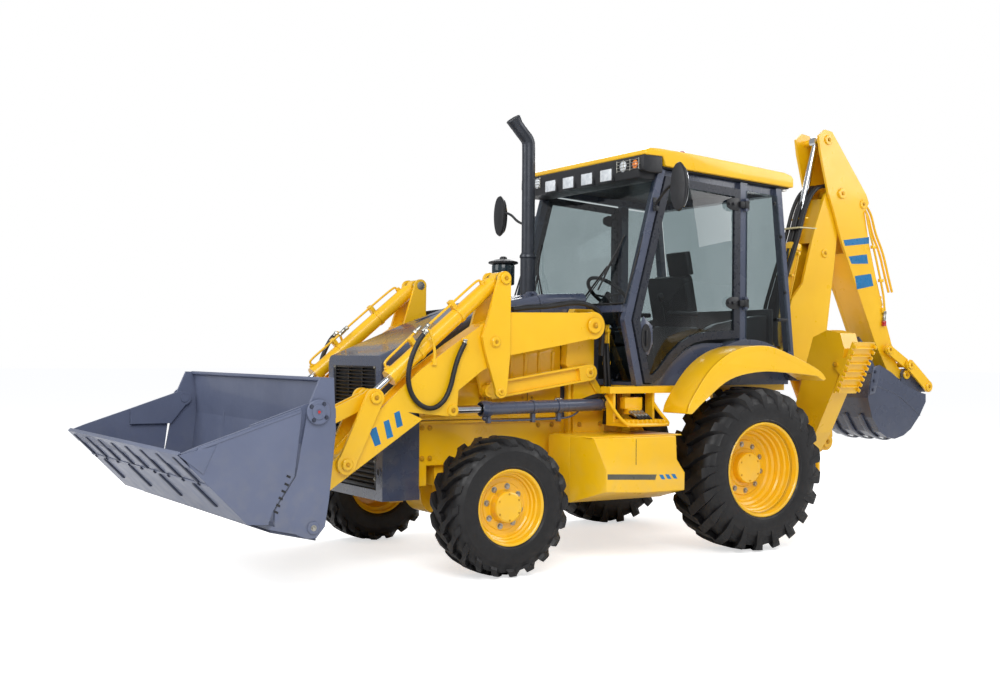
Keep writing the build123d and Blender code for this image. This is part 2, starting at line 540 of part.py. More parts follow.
for z in DOOR_HINGE_Z:
    side_frame += post(DOOR_HINGE, DOOR_PIN_R, (z - 24, z + KNUCKLE_LEN + 24))
    for low, high in ((z - 24, z - 5), (z + KNUCKLE_LEN + 5, z + KNUCKLE_LEN + 24)):
        side_frame += box((DOOR_HINGE[0] - 14, DOOR_HINGE[0] + 14), (778, DOOR_HINGE[1] + 12), (low, high))
cab = side_frame + flip(side_frame)
cab += box((CAB_REAR, CAB_REAR + 40), (-705, 705), (FOOT_Z, 1520))
cab += plate([(-480, roof_z(-480) - 60), (-480, roof_z(-480) - 1), (-400, roof_z(-400) - 1),
              (-400, roof_z(-400) - 60)], (-700, 700))
cab += plate([(690, roof_z(690) - 45), (690, roof_z(690) - 1), (740, roof_z(740) - 1),
              (740, roof_z(740) - 45)], (-700, 700))
cab += box((1046, 1086), (-420, 420), (FRAME_TOP + SEAT_CLEAR, 1846))
cab += box((900, 1060), (-420, 420), (FOOT_Z, 1290))
for side in SIDES:
    y = sorted((side * 415, side * 735))
    cab += box((900, 960), y, (FOOT_Z, 1275))
    cab += plate([(1015, 1790), (1075, 1790), (1075, 1840), (1015, 1840)], y)
save("cab_frame", cab)

GLASS = 6
LAP = 0.5


def pillar_front(z):
    """Station of the A pillar's front edge above its knee."""
    slope = (A_KNEE[0] - A_HEAD[0] - 10) / (roof_z(A_HEAD[0]) - 2 - A_KNEE[1])
    return A_KNEE[0] - 30 + 31.3 - (z - A_KNEE[1]) * slope


screen = [(pillar_front(z) + LAP + thick, z) for z, thick in ((1850, 0), (1850, GLASS), (2768, GLASS),
                                                              (2768, 0))]
glass = [plate(screen, (-765, 765))]
rear_top, rear_low = (-470, roof_z(-470) - 62), (-612, 1520 + LAP)
glass.append(plate([rear_low, (rear_low[0] + GLASS, rear_low[1]), (rear_top[0] + GLASS, rear_top[1]),
                    rear_top], (-690, 690)))
for side in SIDES:
    y = sorted((side * (POST_Y[1] + LAP), side * (POST_Y[1] + LAP + GLASS)))
    glass.append(plate([(-104, 1612), (-104, roof_z(-104) - 64), (-430, roof_z(-430) - 64),
                        (-590, 1510), (-420, 1555), (-250, 1595)], y))
    y = sorted((side * 425, side * 722))
    glass.append(plate([(930, 1275 + LAP), (930 + GLASS, 1275 + LAP), (1045 + GLASS, 1788),
                        (1045, 1788)], y))
save("cab_glass", *glass)

roof = plate([(ROOF_REAR[0], roof_z(-565) + 8), (ROOF_REAR[0], 2890), (-470, 2925), (500, 2990), (800, 3003),
              (900, 2985), (930, 2915), (880, roof_z(745) + 26), (745, roof_z(745) + 0.2),
              (-480, roof_z(-480) + 0.2)], (-830, 830))
save("cab_roof", roof)
lamps = [plate([(744, 2775), (935, 2790), (955, 2880), (905, 2895), (880, roof_z(745) + 25),
                (748, roof_z(745))], (-720, 720))]
for side in SIDES:
    lamps.append(Pos(-640, side * 560, 2850) * Box(90, 150, 95))
    lamps.append(box((-596, ROOF_REAR[0] - SEAT_CLEAR), sorted((side * 540, side * 580)), (2840, 2860)))
lamps.append(post((250, 430), 55, (2977.2, 3080)))
save("roof_lamps", lamps[0], lamps[1] + lamps[2], lamps[3] + lamps[4])

fender_outer = [(770, 1055), (745, 1130), (648, 1265), (560, 1365), (458, 1444), (340, 1505),
                (214, 1540), (60, 1552), (-90, 1536), (-351, 1450), (-560, 1362), (-625, 1300)]
fender_inner = [(-600, 1285), (-545, 1312), (-330, 1400), (-90, 1490), (60, 1508), (200, 1497),
                (320, 1462), (430, 1405), (530, 1330), (610, 1240), (700, 1118), (725, 1050)]
fender = plate(fender_outer + fender_inner, (845.5, 1130))
lip = plate([(770, 1055), (745, 1130), (648, 1265), (560, 1365), (458, 1444), (340, 1505),
             (214, 1540), (60, 1552), (-90, 1536), (-351, 1450), (-560, 1362), (-625, 1300),
             (-545, 1312), (-247, 1345), (62, 1355), (360, 1300), (590, 1156), (725, 1050)], (1108, 1130))
fender += lip
save("fenders", *pair(fender))

# ---- doors ------------------------------------------------------------------------------
DOOR_Y = (764, 790)
door_out = [(806, 1270), (890, 1270), (1004, 1730), (704, roof_z(704) - 52), (-38, roof_z(-38) - 62),
            (-38, 1612), (300, 1592), (420, 1570), (520, 1522), (625, 1438), (725, 1328)]
door_in = [(815, 1330), (850, 1330), (944, 1730), (662, roof_z(662) - 110), (20, roof_z(20) - 120),
           (20, 1668), (310, 1650), (445, 1623), (550, 1573), (660, 1483), (765, 1368)]
door = plate(door_out, DOOR_Y) - plate(door_in, (700, 900))
door += plate(door_in, (772, 778))
for z in DOOR_HINGE_Z:
    door += box((-36, 40), (DOOR_Y[1] - 2, DOOR_HINGE[1] + 12), (z, z + KNUCKLE_LEN))
    door += box((DOOR_HINGE[0], 40), (DOOR_HINGE[1] - 13, DOOR_HINGE[1] + 12), (z, z + KNUCKLE_LEN))
    door += post(DOOR_HINGE, 15, (z, z + KNUCKLE_LEN))
door -= post(DOOR_HINGE, DOOR_PIN_R + PIN_CLEAR, (1500, 2900))
save("door_left", door)
save("door_right", flip(door))

# ---- inside the cab, mirrors ---------------------------------------------------------------
seat = box((-60, 420), (-250, 250), (1560, 1660)) + box((-40, 380), (-180, 180), (FOOT_Z, 1562))
back = plate([(-60, 1640), (60, 1640), (-40, 2130), (-130, 2130)], (-240, 240))
seat += back + plate([(-130, 2129), (-50, 2129), (-75, 2330), (-140, 2330)], (-120, 120))
console = plate([(640, FOOT_Z), (890, FOOT_Z), (890, 1292 - SEAT_CLEAR), (1040, 1292), (1040, 1800),
                 (900, 1850), (800, 1800)], (-120, 120))
console += box((860, 1040), (-380, 380), (1700, 1860))
console += rod((820, 0, 1750), (640, 0, 1960), 22)
wheel = Pos(640, 0, 1960) * Rot(0, -40.6, 0) * Torus(190, 16)
console += wheel + rod((640, -186, 1960), (640, 186, 1960), 10)
save("cab_interior", seat, console)

mirror_body = box((895, 945), (1112, 1282), (2490, 2850))
mirror_body = fillet(mirror_body.edges().filter_by(Axis.X), 60)
mirror_body += rod((805, 795, 2640), (915, 1140, 2690), 12)
mirror_body += rod((805, POST_Y[1] + SEAT_CLEAR, 2640), (805, 805, 2640), 16)
save("mirrors", *pair(mirror_body))

# ---- hoe: swing post ---------------------------------------------------------------
BOOM_FOOT, BOOM_CYL_FOOT = (-1690, 720), (-1560, 1020)
BOOM_FOOT_R, BOOM_CYL_R = 35, 25
CHEEK_Y, BOOM_Y, DIPPER_Y, HOE_EAR_Y, HOE_ROCKER_Y, HOE_LINK_Y = (
    (62, 84), (90, 118), (126, 150), (157, 177), (184, 204), (211, 231))
STUB_Y = 40             # open rod eyes sit between stubs that end here
EYE_HALF = 34
POST_Z = (SWING_LUG_Z[0][1] + 5, SWING_LUG_Z[1][0] - 5)


swing_post = post((SWING_X, 0), 90, POST_Z)
cheek = [(-1500, 600), (-1500, 868), (-1562, 876), (-1562, 952), (-1514, 1000), (-1606, 1035),
         (-1650, 930), (-1760, 760), (-1740, 665), (-1600, 600)]
for y in both(CHEEK_Y):
    swing_post += plate(cheek, y) + disc(BOOM_CYL_FOOT, 48, y) + disc(BOOM_FOOT, 76, y)
swing_post += disc(BOOM_CYL_FOOT, BOOM_CYL_R, (-CHEEK_Y[1] - 3, CHEEK_Y[1] + 3))
swing_post += disc(BOOM_FOOT, BOOM_FOOT_R, (-BOOM_Y[1] - 12, BOOM_Y[1] + 12))
swing_post -= post((SWING_X, 0), SWING_PIN_R + PIN_CLEAR, (0, 1500))
save("swing_post", swing_post)

# ---- hoe: boom ---------------------------------------------------------------------
BOOM_TOP, DIPPER_PIN_R = (-1830, 2928), 40
BOOM_CYL_TOP, CROWD_FOOT, CROWD_PIN_R = (-1656, 2389), (-1110, 1400), 28
boom_side = [(-1770, 760), (-1745, 1100), (-1693, 1719), (-1783, 2320), (-1816, 2593), (-1885, 2870),
             (-1900, 2960), (-1830, 3006), (-1745, 2995), (-1660, 2911), (-1534, 2595), (-1390, 2112),
             (-1266, 1976), (-1228, 1862), (-1190, 1620), (-1056, 1430), (-1060, 1365), (-1130, 1342),
             (-1240, 1395), (-1440, 1330), (-1605, 1010), (-1612, 720)]
boom_plates = [plate(boom_side, y) + disc(BOOM_FOOT, 80, y) for y in both(BOOM_Y)]
boom = boom_plates[0] + boom_plates[1]
WEB = 8                 # half thickness
web_y = (-BOOM_Y[0] - 1, BOOM_Y[0] + 1)
for path in ([(-1713, 1300), (-1682, 1719), (-1772, 2320), (-1804, 2593), (-1860, 2800)],
             [(-1700, 2880), (-1595, 2600), (-1565, 2480)]):
    boom += strip_path(path, WEB, web_y)
boom += disc(BOOM_TOP, DIPPER_PIN_R, (-DIPPER_Y[1] - 6, DIPPER_Y[1] + 6))
boom += disc(CROWD_FOOT, CROWD_PIN_R, (-BOOM_Y[1], BOOM_Y[1]))
for y in both((STUB_Y, BOOM_Y[0] + 1)):
    boom += disc(BOOM_CYL_TOP, BOOM_CYL_R, y)
boom -= disc(BOOM_FOOT, BOOM_FOOT_R + PIN_CLEAR, (-200, 200))
save("hoe_boom", boom)
boom_cyl = cylinder(BOOM_CYL_FOOT, BOOM_CYL_TOP, 0, 56, 34, 1225, BOOM_CYL_R, 45,
                    (56, EYE_HALF), (0, 600))
save("boom_cylinder", boom_cyl[0])
save("boom_rod", boom_cyl[1])

# ---- hoe: dipper -------------------------------------------------------------------
DIPPER_TOP, CURL_FOOT, CURL_PIN_R = (-1660, 3392), (-2106, 2852), 28
HOE_ROCKER_FOOT, HOE_ROCKER_PIN_R = (-2410, 1540), 25
HOE_HINGE, HOE_HINGE_R = (-2660, 1310), 32
dipper_side = [(-1545, 3420), (-1567, 3284), (-1665, 2928), (-1747, 2741), (-1831, 2514), (-2042, 2076),
               (-2272, 1609), (-2447, 1333), (-2625, 1262), (-2670, 1310), (-2612, 1356),
               (-2565, 1400), (-2530, 1500), (-2355, 1947), (-2179, 2533), (-2128, 2775),
               (-2185, 2868), (-2148, 2944), (-1710, 3468), (-1620, 3480)]
dipper = None
for y in both(DIPPER_Y):
    side_plate = plate(dipper_side, y) + disc(HOE_HINGE, 56, y) + disc(CURL_FOOT, 64, y)
    dipper = side_plate if dipper is None else dipper + side_plate
web_y = (-DIPPER_Y[0] - 1, DIPPER_Y[0] + 1)
for path in ([(-1895, 2400), (-2052, 2081), (-2282, 1614), (-2455, 1345)],
             [(-2222, 2350), (-2340, 1955), (-2512, 1512)],
             [(-2118, 2962), (-1745, 3408)]):
    dipper += strip_path(path, WEB, web_y)
dipper += disc(CURL_FOOT, CURL_PIN_R, (-DIPPER_Y[1], DIPPER_Y[1]))
dipper += disc(HOE_ROCKER_FOOT, HOE_ROCKER_PIN_R, (-HOE_ROCKER_Y[1] - 4, HOE_ROCKER_Y[1] + 4))
dipper += disc(HOE_HINGE, HOE_HINGE_R, (-HOE_EAR_Y[1] - 4, HOE_EAR_Y[1] + 4))
for y in both((STUB_Y, DIPPER_Y[0] + 1)):
    dipper += disc(DIPPER_TOP, CROWD_PIN_R, y)
dipper -= disc(BOOM_TOP, DIPPER_PIN_R + PIN_CLEAR, (-200, 200))
save("dipper", dipper)
crowd = cylinder(CROWD_FOOT, DIPPER_TOP, 0, 66, 30, 1100, CROWD_PIN_R, 48, (60, EYE_HALF), (-840, 0))
save("crowd_cylinder", crowd[0])
save("crowd_rod", crowd[1])

# ---- hoe: bucket and its linkage ---------------------------------------------------
HOE_ROCKER_END, HOE_LINK_END, HOE_LINK_PIN_R = (-2660, 1400), (-2910, 1200), 25
curl = cylinder(CURL_FOOT, HOE_ROCKER_END, 0, 55, 28, 980, CURL_PIN_R, 42, (60, EYE_HALF), (-510, 0))
save("curl_cylinder", curl[0])
save("curl_rod", curl[1])
hoe_rocker = strip(HOE_ROCKER_FOOT, HOE_ROCKER_END, 42, HOE_ROCKER_Y)
hoe_rocker += disc(HOE_ROCKER_FOOT, 48, HOE_ROCKER_Y) + disc(HOE_ROCKER_END, 42, HOE_ROCKER_Y)
hoe_rocker += disc(HOE_ROCKER_END, HOE_LINK_PIN_R, (STUB_Y, HOE_LINK_Y[1] + 5))
hoe_rocker -= disc(HOE_ROCKER_FOOT, HOE_ROCKER_PIN_R + PIN_CLEAR, (0, 400))
save("hoe_rockers", *pair(hoe_rocker))
hoe_link = strip(HOE_ROCKER_END, HOE_LINK_END, 50, HOE_LINK_Y)
hoe_link += disc(HOE_ROCKER_END, 50, HOE_LINK_Y) + disc(HOE_LINK_END, 52, HOE_LINK_Y)
hoe_link -= disc(HOE_ROCKER_END, HOE_LINK_PIN_R + PIN_CLEAR, (0, 400))
save("hoe_link", *pair(hoe_link))

HOE_BUCKET_HALF = 300
shell = [(-2080, 1400), (-2040, 1250), (-2018, 1108), (-2075, 930), (-2176, 801), (-2270, 750),
         (-2373, 733), (-2490, 762), (-2586, 818), (-2707, 943), (-2786, 1062), (-2785, 1135)]
inside = [(-2765, 1135), (-2766, 1068), (-2692, 957), (-2574, 836), (-2481, 781), (-2373, 754),
          (-2278, 770), (-2190, 817), (-2092, 942), (-2039, 1112), (-2060, 1254), (-2098, 1396)]
hoe_bucket = plate(shell + inside, (-HOE_BUCKET_HALF, HOE_BUCKET_HALF))
bucket_side = [(-2075, 1385), (-2040, 1250), (-2018, 1108), (-2075, 930), (-2176, 801), (-2270, 750),
               (-2373, 733), (-2490, 762), (-2586, 818), (-2707, 943), (-2786, 1062), (-2785, 1135),
               (-2700, 1150), (-2480, 1230), (-2330, 1330), (-2170, 1400)]
for y in both((HOE_BUCKET_HALF - 15, HOE_BUCKET_HALF)):
    hoe_bucket += plate(bucket_side, y)
hoe_ear = [(-2650, 1360), (-2608, 1300), (-2560, 1100), (-2570, 840), (-2707, 950), (-2780, 1065),
           (-2860, 1140), (-2960, 1190), (-2925, 1250)]
for y, boss in zip(both(HOE_EAR_Y), both((HOE_EAR_Y[0], HOE_ROCKER_Y[1] + 1))):
    hoe_bucket += plate(hoe_ear, y) + disc(HOE_HINGE, 58, y) + disc(HOE_LINK_END, 52, y)
    hoe_bucket += disc(HOE_LINK_END, 36, boss)
TOOTH_COUNT, TOOTH_HALF = 5, 32
for i in range(TOOTH_COUNT):
    y = (i - (TOOTH_COUNT - 1) / 2) * (2 * HOE_BUCKET_HALF - 80) / (TOOTH_COUNT - 1)
    hoe_bucket += plate([(-2050, 1330), (-1930, 1600), (-1908, 1652), (-1955, 1610), (-2105, 1400),
                         (-2100, 1330)], (y - TOOTH_HALF, y + TOOTH_HALF))
hoe_bucket -= disc(HOE_HINGE, HOE_HINGE_R + PIN_CLEAR, (-300, 300))
save("hoe_bucket", hoe_bucket)

# ---- stabilizers ---------------------------------------------------------------------
STAB_X = (REAR_PLATE_X[1] + 13, HOE_PLATE_X[0] - 13)
STAB_PIN_R, PAD_PIN_R = 35, 20
PAD_PIN = (835, 1410)


def bar_x(at, r, x):
    """Round bar along X at the (y, z) point."""
    return rod((x[0], at[0], at[1]), (x[1], at[0], at[1]), r)


leg = cross([(200, 640), (375, 1120), (552, 1632), (708, 1693), (850, 1665), (897, 1541), (872, 1420),
             (785, 1203), (590, 840), (392, 565)], STAB_X)
leg += bar_x(STAB_PIVOT, 100, STAB_X)
leg += bar_x(PAD_PIN, PAD_PIN_R, (STAB_X[0] - 28, STAB_X[1] + 28))
leg -= bar_x(STAB_PIVOT, STAB_PIN_R + PIN_CLEAR, (-1400, -900))
save("stabilizer_left", leg)
save("stabilizer_right", flip(leg))
PAD_X = (-1288, -1037)
PAD_LOW, PAD_HIGH, PAD_THICK = (828, 1172), (1030, 1585), 20
pad_dir = (Vector(*PAD_HIGH) - Vector(*PAD_LOW)).normalized()
pad_out = Vector(pad_dir.Y, -pad_dir.X)
corner = [Vector(*PAD_LOW), Vector(*PAD_HIGH), Vector(*PAD_HIGH) - pad_out * PAD_THICK,
          Vector(*PAD_LOW) - pad_out * PAD_THICK]
pad = cross([(p.X, p.Y) for p in corner], PAD_X)
for x in ((STAB_X[0] - 24, STAB_X[0] - 8), (STAB_X[1] + 8, STAB_X[1] + 24)):
    lug_foot = [Vector(*PAD_LOW) + pad_dir * d - pad_out * 10 for d in (150, 330)]
    pad += cross([(lug_foot[0].X, lug_foot[0].Y), (lug_foot[1].X, lug_foot[1].Y),
                  (PAD_PIN[0] + 10, PAD_PIN[1] + 40), (PAD_PIN[0] - 30, PAD_PIN[1] - 20)], x)
    pad += bar_x(PAD_PIN, 40, x)
pad -= bar_x(PAD_PIN, PAD_PIN_R + PIN_CLEAR, (-1400, -900))
save("pad_left", pad)
save("pad_right", flip(pad))
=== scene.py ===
"""Looks of the backhoe loader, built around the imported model.

Places are given as in the part: millimetres, X stations counted from the rear axle,
Y to the machine's left, Z up from the ground. mm() turns them into the frame's metres.
"""
import math

import bpy
from mathutils import Matrix, Vector


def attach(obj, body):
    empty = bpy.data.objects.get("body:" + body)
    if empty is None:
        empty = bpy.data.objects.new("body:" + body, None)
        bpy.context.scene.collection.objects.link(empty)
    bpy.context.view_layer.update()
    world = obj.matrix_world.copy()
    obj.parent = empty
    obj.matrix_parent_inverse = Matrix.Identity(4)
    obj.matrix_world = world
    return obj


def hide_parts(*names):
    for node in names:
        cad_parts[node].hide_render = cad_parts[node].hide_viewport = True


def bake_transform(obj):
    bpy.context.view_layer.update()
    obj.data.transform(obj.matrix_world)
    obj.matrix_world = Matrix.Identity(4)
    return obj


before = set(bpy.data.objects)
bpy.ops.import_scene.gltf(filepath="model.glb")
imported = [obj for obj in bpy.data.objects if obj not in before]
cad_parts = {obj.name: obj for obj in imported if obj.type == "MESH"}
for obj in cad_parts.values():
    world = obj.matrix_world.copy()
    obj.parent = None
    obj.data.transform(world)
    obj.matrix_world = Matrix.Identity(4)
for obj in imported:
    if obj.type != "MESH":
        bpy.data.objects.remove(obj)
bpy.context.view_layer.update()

MIDDLE = 786.5            # station of the frame's origin
FRONT_AXLE = 2250
FRONT_HUB_Z, REAR_HUB_Z = 465, 620
LEFT_RIGHT = (("left", 1), ("right", -1))


def mm(x, y, z):
    """Point of the frame, in metres, from a station, a side and a height."""
    return Vector(((x - MIDDLE) / 1000, y / 1000, z / 1000))


# ---- modelling steps --------------------------------------------------------------
def deselect():
    """Leave nothing selected."""
    bpy.ops.object.select_all(action="DESELECT")


def in_edit(step):
    """Run one step in edit mode with the whole of the active piece selected."""
    bpy.ops.object.mode_set(mode="EDIT")
    bpy.ops.mesh.select_all(action="SELECT")
    step()
    bpy.ops.object.mode_set(mode="OBJECT")


def close_up():
    """Merge doubles and turn every face outwards."""
    def step():
        bpy.ops.mesh.remove_doubles(threshold=0.00002)
        bpy.ops.mesh.normals_make_consistent(inside=False)
    in_edit(step)


def modify(piece, kind, **settings):
    """Add a modifier and apply it."""
    bpy.context.view_layer.objects.active = piece
    modifier = piece.modifiers.new(kind.title(), kind)
    for key, value in settings.items():
        setattr(modifier, key, value)
    bpy.ops.object.modifier_apply(modifier=modifier.name)


def bevel(piece, width, segments=2, angle=35):
    """Round the edges sharper than the angle; the width is in millimetres."""
    if width:
        modify(piece, "BEVEL", width=width / 1000, segments=segments, limit_method="ANGLE",
               angle_limit=math.radians(angle), harden_normals=False)


def smooth(piece, angle=35):
    """Shade smooth, but for edges sharper than the angle."""
    deselect()
    piece.select_set(True)
    bpy.context.view_layer.objects.active = piece
    bpy.ops.object.shade_smooth_by_angle(angle=math.radians(angle))


def settle(piece):
    """Put the piece's place into its mesh."""
    deselect()
    piece.select_set(True)
    bpy.context.view_layer.objects.active = piece
    bpy.ops.object.transform_apply(location=True, rotation=True, scale=True)


def block(x, y, z, edge=3):
    """Bevelled block between pairs of limits."""
    low, high = mm(x[0], y[0], z[0]), mm(x[1], y[1], z[1])
    deselect()
    bpy.ops.mesh.primitive_cube_add(size=1, location=(low + high) / 2)
    piece = bpy.context.active_object
    piece.scale = [abs(v) for v in high - low]
    settle(piece)
    bevel(piece, edge)
    return piece


def ring_of(count):
    """Closed loop of loose vertices, to be moved to an outline."""
    deselect()
    bpy.ops.mesh.primitive_circle_add(vertices=count, fill_type="NGON")
    return bpy.context.active_object


def prism(points, reach, edge=2, segments=2):
    """Flat outline of frame points, extruded along the vector reach."""
    piece = ring_of(len(points))
    for vertex, point in zip(piece.data.vertices, points):
        vertex.co = point

    def step():
        bpy.ops.mesh.extrude_region_move(TRANSFORM_OT_translate={"value": reach})
        bpy.ops.mesh.select_all(action="SELECT")
        bpy.ops.mesh.normals_make_consistent(inside=False)
    in_edit(step)
    bevel(piece, edge, segments)
    return piece


def plate(outline, y, edge=2, segments=2):
    """Outline of (x, z) points, as thick as the pair y."""
    reach = (0, (y[1] - y[0]) / 1000, 0)
    return prism([mm(x, y[0], z) for x, z in outline], reach, edge, segments)


def turned(profile, centre, axis, steps=48):
    """Closed profile of (radius, distance) points, spun round an axis through the centre."""
    piece = ring_of(len(profile))
    for vertex, (radius, distance) in zip(piece.data.vertices, profile):
        vertex.co = (radius / 1000, 0, distance / 1000)

    def step():
        bpy.ops.mesh.delete(type="ONLY_FACE")
        bpy.ops.mesh.select_all(action="SELECT")
        bpy.ops.mesh.spin(steps=steps, angle=2 * math.pi, center=(0, 0, 0), axis=(0, 0, 1))
    in_edit(step)
    close_up()
    turn = Vector((0, 0, 1)).rotation_difference(Vector(axis)).to_matrix().to_4x4()
    piece.data.transform(Matrix.Translation(centre) @ turn)
    return piece


def bar(start, end, r, edge=2, sides=24):
    """Round bar between two frame points."""
    run = end - start
    deselect()
    bpy.ops.mesh.primitive_cylinder_add(vertices=sides, radius=r / 1000, depth=run.length)
    piece = bpy.context.active_object
    bevel(piece, edge)
    turn = Vector((0, 0, 1)).rotation_difference(run).to_matrix().to_4x4()
    piece.data.transform(Matrix.Translation((start + end) / 2) @ turn)
    return piece


def round_bar_y(at, r, y, edge=2, sides=32):
    """Round bar across the machine, at an (x, z) point."""
    return bar(mm(at[0], y[0], at[1]), mm(at[0], y[1], at[1]), r, edge, sides)


def joined(pieces):
    """One mesh of several."""
    pieces = list(pieces)
    deselect()
    for piece in pieces:
        piece.select_set(True)
    bpy.context.view_layer.objects.active = pieces[0]
    if len(pieces) > 1:
        bpy.ops.object.join()
    return bpy.context.active_object


def copied(piece, matrix):
    """Copy with its own mesh, moved by a matrix."""
    twin = piece.copy()
    twin.data = piece.data.copy()
    bpy.context.scene.collection.objects.link(twin)
    twin.data.transform(matrix)
    if matrix.determinant() < 0:
        twin.data.flip_normals()
    return twin


MIRROR = Matrix.Diagonal((1, -1, 1, 1))


def both_sides(piece):
    """The piece and its mirror image as one mesh."""
    return joined([piece, copied(piece, MIRROR)])


def tube(points, diameter, steps=12, sides=3):
    """Smooth bent pipe or hose through its route's points."""
    deselect()
    bpy.ops.curve.primitive_nurbs_path_add()
    piece = bpy.context.active_object
    curve = piece.data
    curve.splines.clear()
    spline = curve.splines.new("NURBS")
    spline.points.add(len(points) - 1)
    for place, point in zip(spline.points, points):
        place.co = (*point, 1)
    spline.order_u = 3
    spline.use_endpoint_u = True
    spline.resolution_u = steps
    piece.location = (0, 0, 0)
    curve.bevel_depth = diameter / 2000
    curve.bevel_resolution = sides
    curve.use_fill_caps = True
    return piece


def meshed(piece):
    """The curve as a mesh."""
    deselect()
    piece.select_set(True)
    bpy.context.view_layer.objects.active = piece
    bpy.ops.object.convert(target="MESH")
    return bpy.context.active_object


def finished(piece, name, finish, body="chassis", soft_angle=35):
    """Name the piece, give it its material and let it ride on its body."""
    piece.name = name
    piece.data.name = name
    piece.data.materials.clear()
    piece.data.materials.append(finish)
    if piece.type == "MESH":
        smooth(piece, soft_angle)
    if body:
        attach(piece, body)
    return piece


def pair(pieces, name, finish, body="chassis"):
    """The pieces and their mirror images as one finished mesh."""
    return finished(both_sides(joined(pieces)), name, finish, body)


def bent_pipe(points, diameter, steps=12, sides=3):
    """Pipe or hose through its route's points, as a mesh."""
    return meshed(tube(points, diameter, steps, sides))


def hex_bolt(r):
    """Bolt head with its washer, standing on the origin along Z, as a loose piece."""
    washer = turned([(0.01, 0), (r * 1.5, 0), (r * 1.5, r * 0.2), (0.01, r * 0.2)], Vector(), (0, 0, 1), 20)
    head = bar(Vector((0, 0, r * 0.0002)), Vector((0, 0, r * 0.00095)), r * 1.08, 1, 6)
    return joined([washer, head])


def bolts(spots, r=12):
    """Bolt heads at (point, direction) pairs, as one mesh."""
    made = []
    model = hex_bolt(r)
    for point, direction in spots:
        turn = Vector((0, 0, 1)).rotation_difference(Vector(direction)).to_matrix().to_4x4()
        made.append(copied(model, Matrix.Translation(point) @ turn))
    bpy.data.objects.remove(model)
    return joined(made)


def on_circle(at, y, r, count, start=0.0):
    """(point, direction) pairs round the (x, z) point, on a face at y."""
    side = 1 if y > 0 else -1
    spots = []
    for i in range(count):
        a = start + 2 * math.pi * i / count
        spots.append((mm(at[0] + r * math.cos(a), y, at[1] + r * math.sin(a)), (0, side, 0)))
    return spots


# ---- materials ------------------------------------------------------------------------
def linear(code):
    """sRGB hex code as a linear colour."""
    parts = [int(code[i:i + 2], 16) / 255 for i in (1, 3, 5)]
    return [p / 12.92 if p <= 0.04045 else ((p + 0.055) / 1.055) ** 2.4 for p in parts] + [1.0]


def node(tree, kind, settings=None, inputs=None, links=None):
    """Add a node; links maps its input names to other nodes' output sockets."""
    made = tree.nodes.new(kind)
    for key, value in (settings or {}).items():
        setattr(made, key, value)
    for key, value in (inputs or {}).items():
        made.inputs[key].default_value = value
    for key, socket in (links or {}).items():
        tree.links.new(socket, made.inputs[key])
    return made


def started(name, slot):
    """Empty material with its tree, its output and the object's own coordinates."""
    made = bpy.data.materials.new(name)
    made.use_nodes = True
    made["slot"] = slot
    tree = made.node_tree
    tree.nodes.clear()
    out = node(tree, "ShaderNodeOutputMaterial")
    place = node(tree, "ShaderNodeTexCoord").outputs["Object"]
    return made, tree, out, place


def mixed_colour(tree, share, first, second):
    """Colour between two hex codes or sockets, by a socket from 0 to 1."""
    mix = node(tree, "ShaderNodeMix", {"data_type": "RGBA"}, links={"Factor": share})
    for socket, value in ((mix.inputs[6], first), (mix.inputs[7], second)):
        if isinstance(value, str):
            socket.default_value = linear(value)
        else:
            tree.links.new(value, socket)
    return mix.outputs[2]


def band(tree, socket, low, high, to_low=0.0, to_high=1.0):
    """Value mapped from one range to another and held inside it."""
    made = node(tree, "ShaderNodeMapRange", inputs={"From Min": low, "From Max": high,
                "To Min": to_low, "To Max": to_high}, links={"Value": socket})
    return made.outputs["Result"]


def noise(tree, place, size, detail=3.0):
    """Noise whose patches are about as wide as the size in millimetres."""
    return node(tree, "ShaderNodeTexNoise", inputs={"Scale": 1000 / size, "Detail": detail},
                links={"Vector": place}).outputs["Fac"]


def enamel(name, slot, colour, shade, dust, gloss=0.32, coat=0.5):
    """Sprayed two-pack enamel on steel plate: even colour, soft orange peel, rounded edges.

    The eye sees broad faint tone changes between panels, a thin clear gloss, and a
    little pale road dust towards the ground.
    """
    made, tree, out, place = started(name, slot)
    tone = mixed_colour(tree, band(tree, noise(tree, place, 450), 0.35, 0.65), colour, shade)
    height = node(tree, "ShaderNodeSeparateXYZ", links={"Vector": place}).outputs["Z"]
    low_down = band(tree, height, 0.2, 1.1, 0.30, 0.0)
    speckle = band(tree, noise(tree, place, 90, 6.0), 0.45, 0.75)
    dusty = node(tree, "ShaderNodeMath", {"operation": "MULTIPLY"}, links={0: low_down, 1: speckle})
    base = mixed_colour(tree, dusty.outputs["Value"], tone, dust)
    rough = band(tree, noise(tree, place, 120, 4.0), 0.3, 0.7, gloss - 0.06, gloss + 0.08)
    rounded = node(tree, "ShaderNodeBevel", {"samples": 4}, {"Radius": 0.005})
    peel = node(tree, "ShaderNodeBump", inputs={"Strength": 0.05, "Distance": 0.001},
                links={"Height": noise(tree, place, 7, 2.0), "Normal": rounded.outputs["Normal"]})
    shader = node(tree, "ShaderNodeBsdfPrincipled", inputs={"Coat Weight": coat, "Coat Roughness": 0.08,
                  "IOR": 1.5}, links={"Base Color": base, "Roughness": rough,
                                      "Normal": peel.outputs["Normal"]})
    tree.links.new(shader.outputs["BSDF"], out.inputs["Surface"])
    return made


